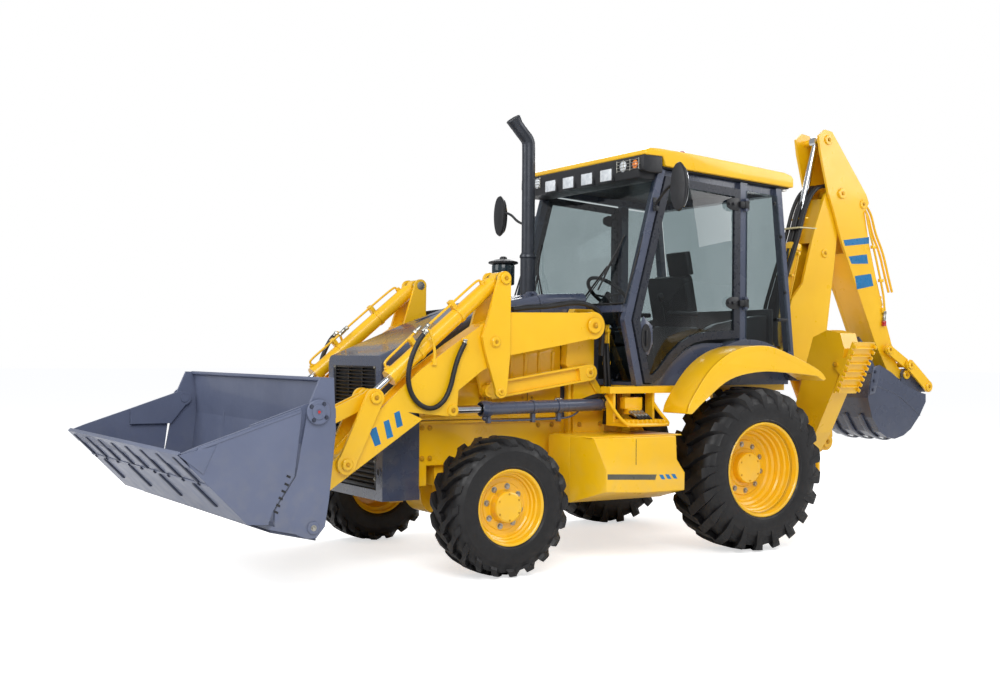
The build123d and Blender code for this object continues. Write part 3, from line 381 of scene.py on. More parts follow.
def plain(name, slot, colour, shade, rough, metal=0.0, grain=6, bump=0.15, patch=80, spread=0.08):
    """Plain surface with patches of a second tone and a fine grain."""
    made, tree, out, place = started(name, slot)
    base = mixed_colour(tree, band(tree, noise(tree, place, patch), 0.35, 0.65), colour, shade)
    gloss = band(tree, noise(tree, place, patch / 2, 4.0), 0.3, 0.7, rough - spread, rough + spread)
    fine = node(tree, "ShaderNodeBump", inputs={"Strength": bump, "Distance": 0.001},
                links={"Height": noise(tree, place, grain, 3.0)})
    shader = node(tree, "ShaderNodeBsdfPrincipled", inputs={"Metallic": metal},
                  links={"Base Color": base, "Roughness": gloss, "Normal": fine.outputs["Normal"]})
    tree.links.new(shader.outputs["BSDF"], out.inputs["Surface"])
    return made


def tyre_rubber():
    """Vulcanised rubber, moulded: near black, dull, with fine mould rings and a grey bloom."""
    made, tree, out, place = started("vulcanised_rubber", "tyre")
    bloom = band(tree, noise(tree, place, 60, 5.0), 0.45, 0.75)
    base = mixed_colour(tree, bloom, "#0C0B0D", "#171618")
    fine = node(tree, "ShaderNodeBump", inputs={"Strength": 0.35, "Distance": 0.001},
                links={"Height": noise(tree, place, 9, 4.0)})
    rough = band(tree, noise(tree, place, 35, 3.0), 0.3, 0.7, 0.42, 0.62)
    shader = node(tree, "ShaderNodeBsdfPrincipled", links={"Base Color": base, "Roughness": rough,
                                                           "Normal": fine.outputs["Normal"]})
    tree.links.new(shader.outputs["BSDF"], out.inputs["Surface"])
    return made


def tinted_glass():
    """Grey-green tempered glass: clear enough to see the seat, with a full mirror sheen."""
    made, tree, out, place = started("tempered_glass", "glass")
    tint = mixed_colour(tree, band(tree, noise(tree, place, 700), 0.3, 0.7), "#DDE2E3", "#D6DCDD")
    clear = node(tree, "ShaderNodeBsdfTransparent", links={"Color": tint})
    sheen = node(tree, "ShaderNodeBsdfGlossy", inputs={"Color": linear("#FFFFFF"), "Roughness": 0.02})
    film = node(tree, "ShaderNodeFresnel", inputs={"IOR": 1.45})
    side = node(tree, "ShaderNodeNewGeometry")
    outside = band(tree, side.outputs["Backfacing"], 0.0, 1.0, 1.0, 0.0)   # no sheen from within
    share = node(tree, "ShaderNodeMath", {"operation": "MULTIPLY"},
                 links={0: film.outputs["Fac"], 1: outside})
    mix = node(tree, "ShaderNodeMixShader", links={"Fac": share.outputs["Value"]})
    tree.links.new(clear.outputs["BSDF"], mix.inputs[1])
    tree.links.new(sheen.outputs["BSDF"], mix.inputs[2])
    tree.links.new(mix.outputs["Shader"], out.inputs["Surface"])
    return made


def lamp_lens(name, slot, colour, shade, ribs=9):
    """Moulded polycarbonate lens over a bright reflector, with fine vertical ribs."""
    made, tree, out, place = started(name, slot)
    base = mixed_colour(tree, band(tree, noise(tree, place, 30), 0.3, 0.7), colour, shade)
    ripple = node(tree, "ShaderNodeTexWave", inputs={"Scale": 1000 / ribs / 6, "Distortion": 0.4},
                  links={"Vector": place})
    bump = node(tree, "ShaderNodeBump", inputs={"Strength": 0.25, "Distance": 0.002},
                links={"Height": ripple.outputs["Fac"]})
    shader = node(tree, "ShaderNodeBsdfPrincipled", inputs={"Roughness": 0.12, "Coat Weight": 1.0},
                  links={"Base Color": base, "Normal": bump.outputs["Normal"]})
    tree.links.new(shader.outputs["BSDF"], out.inputs["Surface"])
    return made


YELLOW = enamel("yellow_enamel", "yellow", "#F6C112", "#F0B90C", "#CDB070")
SLATE = enamel("slate_enamel", "slate", "#454C60", "#40475A", "#8C8674", 0.28, 0.7)
DOOR = plain("dark_door_enamel", "slate", "#2A2D36", "#262931", 0.3, grain=8, bump=0.05)
BUCKET = enamel("bucket_enamel", "slate", "#626A82", "#5B637B", "#8F8A7C", 0.42, 0.25)
BLACK = plain("textured_black_plastic", "black", "#17181B", "#1E1F23", 0.45, grain=4, bump=0.25)
STACK = plain("heat_resistant_black", "black", "#33373F", "#2B2F36", 0.34, metal=0.3, grain=12, bump=0.05)
RUBBER = plain("hose_rubber", "black", "#111113", "#1B1B1D", 0.5, grain=5, bump=0.3)
CHROME = plain("hard_chrome", "chrome", "#D9DBDD", "#CDD0D3", 0.12, metal=1.0, grain=20, bump=0.01,
               patch=60, spread=0.03)
ZINC = plain("zinc_plated_steel", "pin", "#B9B7AE", "#A7A59C", 0.34, metal=1.0, grain=5, bump=0.08)
CAST = plain("oily_cast_iron", "steel", "#3A3A3C", "#2D2C2C", 0.5, metal=0.4, grain=10, bump=0.4)
BOLT = plain("yellow_painted_bolt", "yellow", "#D9A012", "#B98A1C", 0.38, metal=0.2, grain=4, bump=0.2)
VINYL = plain("seat_vinyl", "fabric", "#17171A", "#1E1E22", 0.55, grain=3, bump=0.5)
BLUE = plain("blue_stripe_paint", "", "#1C74AC", "#1A6BA1", 0.3, grain=9, bump=0.04)
RED = lamp_lens("red_lens", "", "#C9242B", "#A8161F")
AMBER = lamp_lens("amber_lens", "", "#F08A1C", "#DD6F10")
CLEAR = lamp_lens("clear_lens", "glass", "#E8ECEF", "#C9D0D6")
GLASS = tinted_glass()
TYRE = tyre_rubber()

NODE_FINISH = {  # every CAD node; one that a piece replaces keeps its finish unseen
    "yellow": (YELLOW, ["main_frame", "loader_towers", "loader_arms", "guide_levers", "tie_rods",
                        "tilt_cylinders", "rockers", "bucket_links", "side_tanks", "platform", "cab_roof",
                        "fenders", "swing_post", "hoe_boom", "boom_cylinder", "dipper", "crowd_cylinder",
                        "curl_cylinder", "hoe_rockers", "hoe_link", "stabilizer_left",
                        "stabilizer_right", "pad_left", "pad_right", "axles", "knuckle_left",
                        "knuckle_right", "lever_pins", "rocker_pins", "link_pins", "bucket_pins",
                        "front_left_rim", "front_right_rim", "rear_left_rim", "rear_right_rim"]),
    "slate": (SLATE, ["bonnet", "bonnet_surround", "cab_frame", "lift_cylinders", "hoe_bucket"]),
    "bucket": (BUCKET, ["loader_bucket", "clam_jaw"]),
    "black": (BLACK, ["grille", "roof_lamps", "door_left", "door_right", "mirrors"]),
    "stack": (STACK, ["stacks"]),
    "cast": (CAST, ["engine"]),
    "chrome": (CHROME, ["lift_rods", "tilt_rods", "boom_rod", "crowd_rod", "curl_rod"]),
    "glass": (GLASS, ["cab_glass"]),
    "vinyl": (VINYL, ["cab_interior"]),
    "tyre": (TYRE, [f"{end}_{side}_tyre" for end in ("front", "rear") for side in ("left", "right")]),
}
for finish, names in NODE_FINISH.values():
    for name in names:
        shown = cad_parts[name]
        shown.data.materials.clear()
        shown.data.materials.append(finish)


# ---- wheels -----------------------------------------------------------------------------
def between(table, u):
    """Row of the table at u, by straight steps; a row's first number is its u."""
    for low, high in zip(table, table[1:]):
        if u <= high[0]:
            share = max(0.0, (u - low[0]) / (high[0] - low[0]))
            return [a + (b - a) * share for a, b in zip(low[1:], high[1:])]
    return list(table[-1][1:])


def tread_bar(side, crown, root, sweep, half_width):
    """One tread bar at the top of a wheel that stands round the origin, axle along Y.

    crown and root give (u, y, radius) of the bar's top and foot from the middle of the
    tread, u = 0, to the shoulder, u = 1; half_width gives (u, half width).
    """
    deselect()
    bpy.ops.mesh.primitive_cube_add(size=1)
    piece = bpy.context.active_object
    in_edit(lambda: bpy.ops.mesh.subdivide(number_cuts=7))
    for vertex in piece.data.vertices:
        u, v, w = vertex.co.x + 0.5, 2 * vertex.co.y, vertex.co.z + 0.5
        top_y, top_r = between(crown, u)
        low_y, low_r = between(root, u)
        y = low_y + (top_y - low_y) * w
        r = low_r + (top_r - low_r) * w
        wide = between(half_width, u)[0] * (1.12 - 0.17 * w)
        angle = -math.radians(sweep) * u ** 1.15 + v * wide / r
        vertex.co = (r * math.sin(angle) / 1000, side * y / 1000, r * math.cos(angle) / 1000)
    if side < 0:
        piece.data.flip_normals()
    return piece


# rows of (u, y, radius) for a bar's top and foot, and of (u, half width)
FRONT_BARS = {
    "crown": [(0, -22, 465), (0.45, 70, 464), (0.78, 140, 458), (0.93, 158, 448), (1, 163, 418)],
    "root": [(0, -22, 425), (0.45, 70, 424), (0.78, 128, 418), (0.93, 140, 410), (1, 150, 400)],
    "half_width": [(0, 30), (0.16, 36), (0.3, 33), (0.4, 21), (0.62, 20), (0.7, 26), (0.86, 27),
                   (1, 24)],
}
REAR_BARS = {
    "crown": [(0, -25, 620), (0.5, 110, 617), (0.76, 190, 606), (0.84, 215, 588), (0.92, 223, 535),
              (1, 221, 462)],
    "root": [(0, -25, 568), (0.5, 110, 566), (0.76, 180, 556), (0.84, 196, 540), (0.92, 206, 510),
             (1, 212, 455)],
    "half_width": [(0, 40), (0.5, 40), (0.76, 42), (0.84, 40), (0.9, 24), (1, 15)],
}
SECTION = [(0.0, 0.80), (0.05, 0.89), (0.09, 0.93), (0.115, 0.945), (0.135, 0.935), (0.16, 0.945),
           (0.28, 0.965), (0.45, 0.975), (0.60, 0.955), (0.655, 0.945), (0.67, 0.925), (0.80, 0.89),
           (0.92, 0.80), (0.98, 0.66), (1.0, 0.40), (1.003, 0.0)]


TYRE_OUTSIDE_Y = 1133


def tyre(name, station, r, carcass_r, width, rim_r, bars, count, sweep):
    """Carcass with a rim rib and a shoulder line, and the tread bars of both sides."""
    half = width / 2
    rise = carcass_r - rim_r
    face = [(rim_r + f * rise, g * half) for f, g in SECTION]
    profile = face + [(radius, -y) for radius, y in reversed(face[:-1])]
    carcass = turned(profile, Vector(), (0, 1, 0), 96)
    made = [carcass]
    for side in (1, -1):
        model = tread_bar(side, bars["crown"], bars["root"], sweep, bars["half_width"])
        for i in range(count):
            angle = 2 * math.pi * (i + (0.5 if side < 0 else 0)) / count
            made.append(copied(model, Matrix.Rotation(angle, 4, "Y")))
        bpy.data.objects.remove(model)
    whole = joined(made)
    centre = mm(station, TYRE_OUTSIDE_Y - half, r)
    for label, side in LEFT_RIGHT:
        shift = Matrix.Translation((centre.x, side * centre.y, centre.z))
        flip = Matrix.Diagonal((1, side, 1, 1))
        wheel = copied(whole, shift @ flip)
        finished(wheel, f"{name}_{label}_tread", TYRE, f"wheel_{name}_{label}", 40)
        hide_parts(f"{name}_{label}_tyre")
    bpy.data.objects.remove(whole)


FRONT_RIM = [  # (radius, y), from the flange over the dished face to the middle, and back inside
    (250, 1096), (257, 1100), (258, 1106), (254, 1110), (246, 1109), (238, 1102), (234, 1088),
    (231, 1066), (221, 1060), (217, 1036), (206, 1030), (203, 1012), (192, 1003), (162, 1003),
    (158, 1008), (112, 1008), (106, 1014), (105, 1070), (100, 1080), (90, 1085), (0.01, 1087),
    (0.01, 985), (190, 985), (200, 960), (206, 870), (232, 858), (238, 826), (250, 820), (250, 830),
    (242, 862), (216, 876), (214, 1000), (236, 1062)]
REAR_RIM = [
    (348, 1096), (356, 1100), (357, 1107), (352, 1111), (344, 1110), (336, 1102), (332, 1082),
    (330, 1052), (319, 1044), (315, 1012), (303, 1004), (299, 966), (287, 956), (283, 918),
    (266, 908), (258, 884), (244, 874), (215, 874), (208, 882), (150, 882), (142, 890), (120, 892),
    (117, 944), (110, 952), (0.01, 954), (0.01, 850), (250, 850), (286, 842), (296, 750), (330, 740),
    (336, 712), (348, 708), (348, 722), (340, 750), (308, 762), (306, 900), (322, 1040)]
RIMS = (  # name, station, hub height, profile, nut circle and count, its y, cap screw circle, its y
    ("front", FRONT_AXLE, FRONT_HUB_Z, FRONT_RIM, 134, 8, 1008, 86, 1084.5),
    ("rear", 0, REAR_HUB_Z, REAR_RIM, 178, 10, 882, 96, 953),
)


def rim(name, station, height, profile, nut_r, nut_count, nut_y, cap_r, cap_y):
    """Pressed wheel disc with its nuts and hub cap screws, on both sides."""
    whole = turned(profile, mm(station, 0, height), (0, 1, 0), 72)
    nuts = bolts(on_circle((station, height), nut_y, nut_r, nut_count, 0.2), 14)
    screws = bolts(on_circle((station, height), cap_y, cap_r, 6, 0.5), 5)
    for label, side in LEFT_RIGHT:
        flip = Matrix.Diagonal((1, side, 1, 1))
        body = f"wheel_{name}_{label}"
        wheel = finished(copied(whole, flip), f"{name}_{label}_wheel_disc", YELLOW, body, 25)
        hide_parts(f"{name}_{label}_rim")
        finished(copied(nuts, flip), f"{name}_{label}_wheel_nuts", ZINC, body)
        finished(copied(screws, flip), f"{name}_{label}_cap_screws", BOLT, body)
    for piece in (whole, nuts, screws):
        bpy.data.objects.remove(piece)


tyre("front", FRONT_AXLE, FRONT_HUB_Z, 436, 340, 249, FRONT_BARS, 20, 20)
tyre("rear", 0, REAR_HUB_Z, 578, 450, 346, REAR_BARS, 21, 17)
for row in RIMS:
    rim(*row)


# ---- cab ----------------------------------------------------------------------------------
ROOF_REAR_X, ROOF_SLOPE = -565, 0.0475


def roof_z(x):
    """Height of the cab's upper edge at a station."""
    return 2800 + (x - ROOF_REAR_X) * ROOF_SLOPE


DOOR_Y = (764, 790)
DOOR_EDGE = [(806, 1270), (890, 1270), (1004, 1730), (704, roof_z(704) - 52), (-38, roof_z(-38) - 62),
             (-38, 1612), (300, 1592), (420, 1570), (520, 1522), (625, 1438), (725, 1328)]
DOOR_PANE = [(815, 1330), (846, 1330), (940, 1730), (660, roof_z(662) - 112), (22, roof_z(20) - 122),
             (22, 1670), (310, 1652), (445, 1625), (550, 1575), (660, 1485), (765, 1370)]
HINGE_Z = (1856, 2620)


def frame_of(outer, inner, y, edge=3):
    """Flat frame between two outlines with as many points, as thick as the pair y."""
    strips = []
    count = len(outer)
    for i in range(count):
        j = (i + 1) % count
        strips.append(plate([outer[i], outer[j], inner[j], inner[i]], y, 0))
    piece = joined(strips)
    close_up()
    in_edit(lambda: bpy.ops.mesh.dissolve_limited(angle_limit=0.01))
    bevel(piece, edge)
    return piece


def doors():
    """Door of dark sheet steel with a bonded pane, black hinge plates and a pull recess."""
    surround = frame_of(DOOR_EDGE, DOOR_PANE, DOOR_Y, 0)
    pane = plate(DOOR_PANE, (774, 779), 1)
    recess = turned([(0.01, 0), (30, 0), (44, 4), (52, 4), (52, -8), (0.01, -8)], Vector(), (0, 1, 0), 32)
    recess.data.transform(Matrix.Translation(mm(884, 790, 1600)) @ Matrix.Diagonal((0.85, 1, 2.0, 1)))
    lever = block((872, 888), (790, 799), (1540, 1655), 4)
    panel = plate([(858, 1470), (912, 1500), (952, 1660), (905, 1760), (820, 1690), (815, 1560)],
                  (779, 786), 2)
    hinges = []
    screws = []
    for z in HINGE_Z:
        hinges.append(plate([(-30, z + 25), (-16, z + 72), (60, z + 72), (104, z + 52), (112, z + 25),
                             (104, z - 2), (60, z - 22), (-16, z - 22)], (790, 797), 2))
        hinges.append(bar(mm(-82, 806, z - 2), mm(-82, 806, z + 52), 15, 2))
        hinges.append(block((-80, -20), (797, 812), (z + 2, z + 48), 3))
        for x in (40, 84):
            screws.append((mm(x, 797, z + 25), (0, 1, 0)))
    hinge_set = joined(hinges)
    screw_set = bolts(screws, 11)
    handle = joined([recess, lever])
    parts = ((surround, "frame", DOOR), (pane, "glass", GLASS), (handle, "handle", BLACK),
             (panel, "lock_panel", SLATE), (hinge_set, "hinge_plates", BLACK),
             (screw_set, "hinge_screws", BLACK))
    for label, side in LEFT_RIGHT:
        for part, name, finish in parts:
            twin = copied(part, Matrix.Diagonal((1, side, 1, 1)))
            finished(twin, f"door_{name}_{label}", finish, f"door_{label}")
            if part is surround:
                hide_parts(f"door_{label}")
    for part, _, _ in parts:
        bpy.data.objects.remove(part)


def cab_trim():
    """Hinge brackets on the pillar, quarter glass screws and latch, seals round the glass."""
    brackets, screws, seals = [], [], []
    for z in HINGE_Z:
        brackets.append(plate([(-128, z + 60), (-94, z + 66), (-94, z - 16), (-128, z - 10)],
                              (786.8, 794), 2))
        screws += [(mm(-112, 794, z + d), (0, 1, 0)) for d in (2, 48)]
    for x, z in ((-400, 2680), (-520, 1980), (-470, 2420)):
        screws.append((mm(x, 786.6, z), (0, 1, 0)))
    pair(brackets, "pillar_hinge_brackets", BLACK)
    finished(both_sides(bolts(screws, 10)), "quarter_glass_screws", BLACK)
    latch = joined([bar(mm(-440, 786.5, 1760), mm(-440, 812, 1760), 14),
                    block((-520, -420), (806, 820), (1750, 1772), 5),
                    bar(mm(-505, 786.5, 1760), mm(-505, 808, 1760), 11)])
    finished(both_sides(latch), "quarter_glass_latch", BLACK)
    for y in (-768, 768):
        seals.append(tube([mm(1074, y, 1852), mm(913, y, 2310), mm(752, y, 2768)], 14))
    seals.append(tube([mm(1078, -760, 1852), mm(1078, 760, 1852)], 16))
    finished(joined([meshed(seal) for seal in seals]), "windscreen_seal", RUBBER)


def wipers():
    """Two pantograph wipers parked on the windscreen."""
    parts = []
    for side in (1, -1):
        foot, head = mm(1092, side * 250, 1866), mm(1004, side * 470, 2140)
        parts.append(bar(foot, head, 7, 1, 12))
        parts.append(bar(mm(1092, side * 290, 1866), mm(1001, side * 500, 2150), 4, 1, 12))
        parts.append(bar(foot - Vector((0.012, 0, 0)), foot + Vector((0.03, 0, 0.02)), 22, 3))
        blade_low, blade_high = mm(1061, side * 430, 1960), mm(912, side * 560, 2372)
        parts.append(bar(blade_low, blade_high, 7, 1, 8))
        parts.append(bar(mm(1018, side * 455, 2080), mm(962, side * 525, 2245), 9, 1, 8))
    finished(joined(parts), "wipers", RUBBER)


def mirrors():
    """Oval mirror heads on bent tube arms, with a swivel at the pillar."""
    shell = turned([(0.01, 25), (60, 25), (86, 18), (90, 0), (84, -18), (60, -34), (0.01, -40)],
                   Vector(), (1, 0, 0), 48)
    shell.data.transform(Matrix.Translation(mm(920, 1197, 2670)) @ Matrix.Diagonal((0.8, 0.92, 1.95, 1)))
    arm = bent_pipe([mm(812, 790, 2600), mm(850, 840, 2570), mm(900, 930, 2590), mm(905, 1050, 2680),
                       mm(915, 1110, 2690)], 22)
    swivel = joined([bar(mm(805, 780.5, 2560), mm(805, 812, 2560), 20),
                     bar(mm(812, 796, 2540), mm(812, 796, 2640), 15)])
    face = turned([(0.01, 0), (76, 0), (76, -3), (0.01, -3)], Vector(), (1, 0, 0), 48)
    face.data.transform(Matrix.Translation(mm(891, 1197, 2670)) @ Matrix.Diagonal((1, 0.92, 1.95, 1)))
    heads = pair([shell, arm, swivel], "mirror_heads", BLACK)
    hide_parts("mirrors")
    finished(both_sides(face), "mirror_glass", CHROME)


def front_lamps():
    """Black lamp panel under the roof's front edge: work lamps, corner lamps behind a wire guard."""
    panel = plate([(744, 2775), (870, 2776), (932, 2786), (948, 2850), (946, 2938), (930, 2948),
                   (760, 2948), (748, roof_z(745))], (-760, 760), 6, 3)
    corners = []
    for side in (1, -1):
        y = sorted((side * 500, side * 820))
        corners.append(plate([(760, 2822), (900, 2820), (940, 2834), (948, 2860), (946, 2938), (930, 2950),
                              (760, 2950)], y, 12, 4))
    body = finished(joined([panel] + corners), "lamp_panel", BLACK)
    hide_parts("roof_lamps")
    lenses, housings, round_lenses, ambers, wires = [], [], [], [], []
    for y in (-375, -125, 125, 375):
        housings.append(block((915, 952), (y - 84, y + 84), (2784, 2896), 10))
        lenses.append(block((948, 957), (y - 70, y + 70), (2796, 2884), 6))
    for side in (1, -1):
        round_lenses.append(turned([(0.01, 14), (30, 11), (42, 4), (44, 0), (44, -14), (0.01, -14)],
                                   mm(943, side * 580, 2884), (1, 0, 0), 32))
        ambers.append(turned([(0.01, 16), (26, 12), (36, 4), (38, 0), (38, -14), (0.01, -14)],
                             mm(941, side * 725, 2884), (1, 0, 0), 32))
        for z in (2850, 2873, 2896, 2919):
            wires.append(bar(mm(958, side * 520, z), mm(958, side * 785, z), 2.2, 0, 8))
        for y in (520, 600, 680, 785):
            wires.append(bar(mm(958, side * y, 2842), mm(958, side * y, 2926), 2.2, 0, 8))
        for y in (520, 785):
            wires.append(bar(mm(940, side * y, 2884), mm(958, side * y, 2884), 3, 0, 8))
    finished(joined(housings), "work_lamp_housings", BLACK)
    finished(joined(lenses), "work_lamp_lenses", CLEAR)
    finished(joined(round_lenses), "head_lamp_lenses", CLEAR)
    finished(joined(ambers), "indicator_lenses", AMBER)
    finished(joined(wires), "lamp_wire_guard", ZINC)
    beacon = mm(250, 430, 0)
    dome = turned([(0.01, 3080), (30, 3076), (46, 3062), (52, 3030), (52, 3000), (0.01, 3000)],
                  beacon, (0, 0, 1), 32)
    foot = turned([(0.01, 3004), (58, 3004), (62, 2996), (62, 2976), (0.01, 2976)], beacon, (0, 0, 1), 32)
    finished(dome, "beacon_dome", RED)
    finished(foot, "beacon_foot", BLACK)


def rear_lamps():
    """Rear work lamps in wire guards on the roof's rear edge."""
    cases, lenses, wires = [], [], []
    for side in (1, -1):
        y = side * 560
        cases.append(block((-640, -596), (y - 75, y + 75), (2805, 2895), 8))
        cases.append(block((-600, -562), (y - 20, y + 20), (2840, 2862), 3))
        lenses.append(block((-648, -639), (y - 65, y + 65), (2815, 2885), 4))
        for z in (2815, 2838, 2861, 2884):
            wires.append(bar(mm(-676, y - 72, z), mm(-676, y + 72, z), 2.5, 0, 8))
            for edge in (-72, 72):
                wires.append(bar(mm(-676, y + edge, z), mm(-620, y + edge, z), 2.5, 0, 8))
        for edge in (-72, -24, 24, 72):
            wires.append(bar(mm(-676, y + edge, 2812), mm(-676, y + edge, 2888), 2.5, 0, 8))
    finished(joined(cases), "rear_lamp_cases", BLACK)
    finished(joined(lenses), "rear_lamp_lenses", CLEAR)
    finished(joined(wires), "rear_lamp_guards", ZINC)


def roof_skin():
    """Moulded roof: pressed cap with a rolled edge, and a dark lining under it."""
    cap = plate([(ROOF_REAR_X, roof_z(-565) + 12), (-566, 2880), (-545, 2905), (-470, 2925), (0, 2958),
                 (500, 2990), (800, 3002), (880, 2999), (915, 2986), (928, 2965), (922, 2946), (760, 2946),
                 (735, roof_z(735) + 14)], (-829, 829), 20, 5)
    lining = plate([(-540, roof_z(-540) + 1), (-540, roof_z(-540) + 14), (745, roof_z(745) + 16),
                    (745, roof_z(745) + 1)], (-800, 800), 3)
    shell = finished(cap, "roof_cap", YELLOW)
    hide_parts("cab_roof")
    finished(lining, "roof_seal_lining", BLACK)


def cushion(x, y, z, puff):
    """Crowned closed pad between limits, pulled in between its corners."""
    deselect()
    bpy.ops.mesh.primitive_cube_add(size=1)
    piece = bpy.context.active_object
    in_edit(lambda: bpy.ops.mesh.subdivide(number_cuts=6))
    low, high = mm(x[0], y[0], z[0]), mm(x[1], y[1], z[1])
    for vertex in piece.data.vertices:
        u, v, w = (2 * c for c in vertex.co)
        crown = (1 - u * u) * (1 - v * v)
        pinch = 1 - 0.05 * (1 - abs(w)) * max(abs(u), abs(v)) ** 4
        side_bow = 1 - 0.03 * (1 - v * v) * abs(u) ** 6
        spot = Vector((u * pinch * side_bow, v * pinch, w * (0.72 + 0.28 * crown if w > 0 else 1)))
        middle, half = (low + high) / 2, (high - low) / 2
        vertex.co = Vector(middle[i] + spot[i] * half[i] for i in range(3))
    modify(piece, "SUBSURF", levels=2, render_levels=2)
    if puff:
        seam = piece.data
        for vertex in seam.vertices:
            across = abs(vertex.co.y - (low.y + high.y) / 2)
            groove = math.exp(-((across - 0.13) / 0.008) ** 2)
            top = max(0.0, (vertex.co.z - low.z) / (high.z - low.z) - 0.6)
            vertex.co.z -= groove * top * puff / 1000
    return piece


def cab_inside():
    """Seat, console, cab lining, steering wheel and levers, seen through the glass; the black side boxes,
    pedestal, floor and side linings are partly real cab trim and partly dark pieces standing for the shade
    of the cab's lower half, as painted shade.
    """
    base = cushion((-60, 420), (-245, 245), (1560, 1690), 30)
    finished(base, "seat_base_cushion", VINYL)
    back = cushion((-245, 245), (-240, 240), (-60, 60), 24)
    lean = Matrix.Rotation(math.radians(-78), 4, "Y")
    shift = Vector((MIDDLE / 1000, 0, 0))
    back.data.transform(Matrix.Translation(mm(-35, 0, 1890)) @ lean @ Matrix.Translation(shift))
    finished(back, "seat_back_cushion", VINYL)
    head = cushion((-100, 100), (-125, 125), (-35, 35), 0)
    head.data.transform(Matrix.Translation(mm(-98, 0, 2232)) @ lean @ Matrix.Translation(shift))
    finished(head, "seat_head_rest", VINYL)
    stand = joined([block((-40, 380), (-190, 190), (1249, 1300), 6),
                    block((0, 340), (-150, 150), (1300, 1562), 12),
                    bar(mm(-92, -60, 2090), mm(-105, -60, 2180), 9),
                    bar(mm(-92, 60, 2090), mm(-105, 60, 2180), 9)])
    rests = [block((-20, 260), (side * 300 - 30, side * 300 + 30), (1790, 1830), 14) for side in (1, -1)]
    # Painted shade: these black boxes and the pedestal, floor and side linings below are made large and
    # dark to stand for the shade in the cab's lower half; they are partly real cab trim.
    boxes = [block((40, 420), (side * 345 - 55, side * 345 + 55), (1249, 1700), 16) for side in (1, -1)]
    column = plate([(660, 1250), (890, 1250), (890, 1291), (1040, 1291), (1040, 1800), (900, 1850),
                    (800, 1800)], (-115, 115), 14, 3)
    trim = [block((-470, 400), (-285, 285), (1249, 1545), 20),
            block((-525, -480), (-655, 655), (1500, 1850), 10),
            block((-470, 600), (-640, 640), (1249, 1262), 3)]
    trim += [plate([(-470, 1249), (-470, 1800), (-330, 1790), (60, 1720), (330, 1600), (480, 1430),
                    (540, 1249)],
                   sorted((side * 560, side * 640)), 14, 3) for side in (1, -1)]
    dash = block((860, 1040), (-380, 380), (1700, 1858), 22)
    frame_piece = finished(joined([stand, column, dash] + rests + boxes + trim), "seat_stand_console_and_shade_linings",
                           BLACK)
    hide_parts("cab_interior")
    deselect()
    bpy.ops.mesh.primitive_torus_add(major_radius=0.19, minor_radius=0.015, major_segments=48,
                                     minor_segments=12)
    wheel = bpy.context.active_object
    centre, rake = mm(640, 0, 1960), math.radians(40.6)
    wheel.data.transform(Matrix.Translation(centre) @ Matrix.Rotation(-rake, 4, "Y"))
    slope = Vector((math.sin(rake), 0, -math.cos(rake)))
    across = Vector((math.cos(rake), 0, math.sin(rake)))
    spokes = [bar(centre + slope * 0.03, centre + end, 9, 1, 12)
              for end in (Vector((0, 0.186, 0)), Vector((0, -0.186, 0)), across * -0.186)]
    hub = bar(centre + slope * 0.2, centre - slope * 0.01, 24, 6)
    finished(joined([wheel, hub] + spokes), "steering_wheel", BLACK)
    levers = []
    for side in (1, -1):
        foot = mm(330, side * 345, 1700)
        levers.append(bar(foot, foot + Vector((0.05, 0, 0.2)), 7, 1, 12))
        levers.append(turned([(0.01, 40), (18, 36), (24, 18), (22, -10), (14, -30), (0.01, -34)],
                             foot + Vector((0.055, 0, 0.225)), (0, 0, 1), 20))
    finished(joined(levers), "control_levers", BLACK)


doors()
cab_trim()
wipers()
mirrors()
front_lamps()
rear_lamps()
roof_skin()
cab_inside()


# ---- loader linkage: caps, pipes, hoses and stripes -------------------------------------
ARM_PIVOT, LIFT_REAR, LIFT_FRONT = (1287, 1686), (1130, 1112), (2461, 1090)
LEVER_TOP, LEVER_MID, LEVER_LOW, TIE_REAR = (2070, 1998), (2145, 1558), (2095, 1216), (1237, 1344)
ROCKER_PIVOT, ROCKER_TOP, LINK_PIN, BUCKET_PIN = (3259, 758), (3058, 1184), (3500, 990), (3490, 600)
PIN_CAPS = (  # name, centre (x, z), face y, radius, height, body
    ("arm_pivot", ARM_PIVOT, 702, 58, 12, "chassis"),
    ("lever_mid", LEVER_MID, 733, 34, 9, "guide_levers"),
    ("lever_top", LEVER_TOP, 733, 40, 11, "lever_pins"),
    ("lever_low", LEVER_LOW, 725, 28, 9, "guide_levers"),
    ("tie_rear", TIE_REAR, 585, 40, 5, "chassis"),
    ("lift_rear", LIFT_REAR, 677, 40, 10, "chassis"),
    ("lift_front", LIFT_FRONT, 690, 42, 14, "loader_arms"),
    ("rocker_foot", ROCKER_PIVOT, 735, 38, 9, "rocker_pins"),
    ("rocker_top", ROCKER_TOP, 733, 40, 10, "rockers"),
    ("bucket_pin", BUCKET_PIN, 690, 44, 5, "bucket_pins"),
)


def pin_cap(name, at, y, r, tall, body):
    """Turned cap over the end of a pin, with its keeper bolt in the middle."""
    profile = [(0.01, -3), (r, -3), (r, tall * 0.55), (r - 5, tall), (r * 0.45, tall),
               (r * 0.4, tall * 0.7), (0.01, tall * 0.7)]
    cap = turned(profile, mm(at[0], y, at[1]), (0, 1, 0), 32)
    finished(both_sides(cap), f"{name}_caps", YELLOW, body)
    heads = bolts([(mm(at[0], y + tall * 0.7, at[1]), (0, 1, 0))], max(8, r * 0.24))
    finished(both_sides(heads), f"{name}_bolts", BOLT, body)


for cap_row in PIN_CAPS:
    pin_cap(*cap_row)

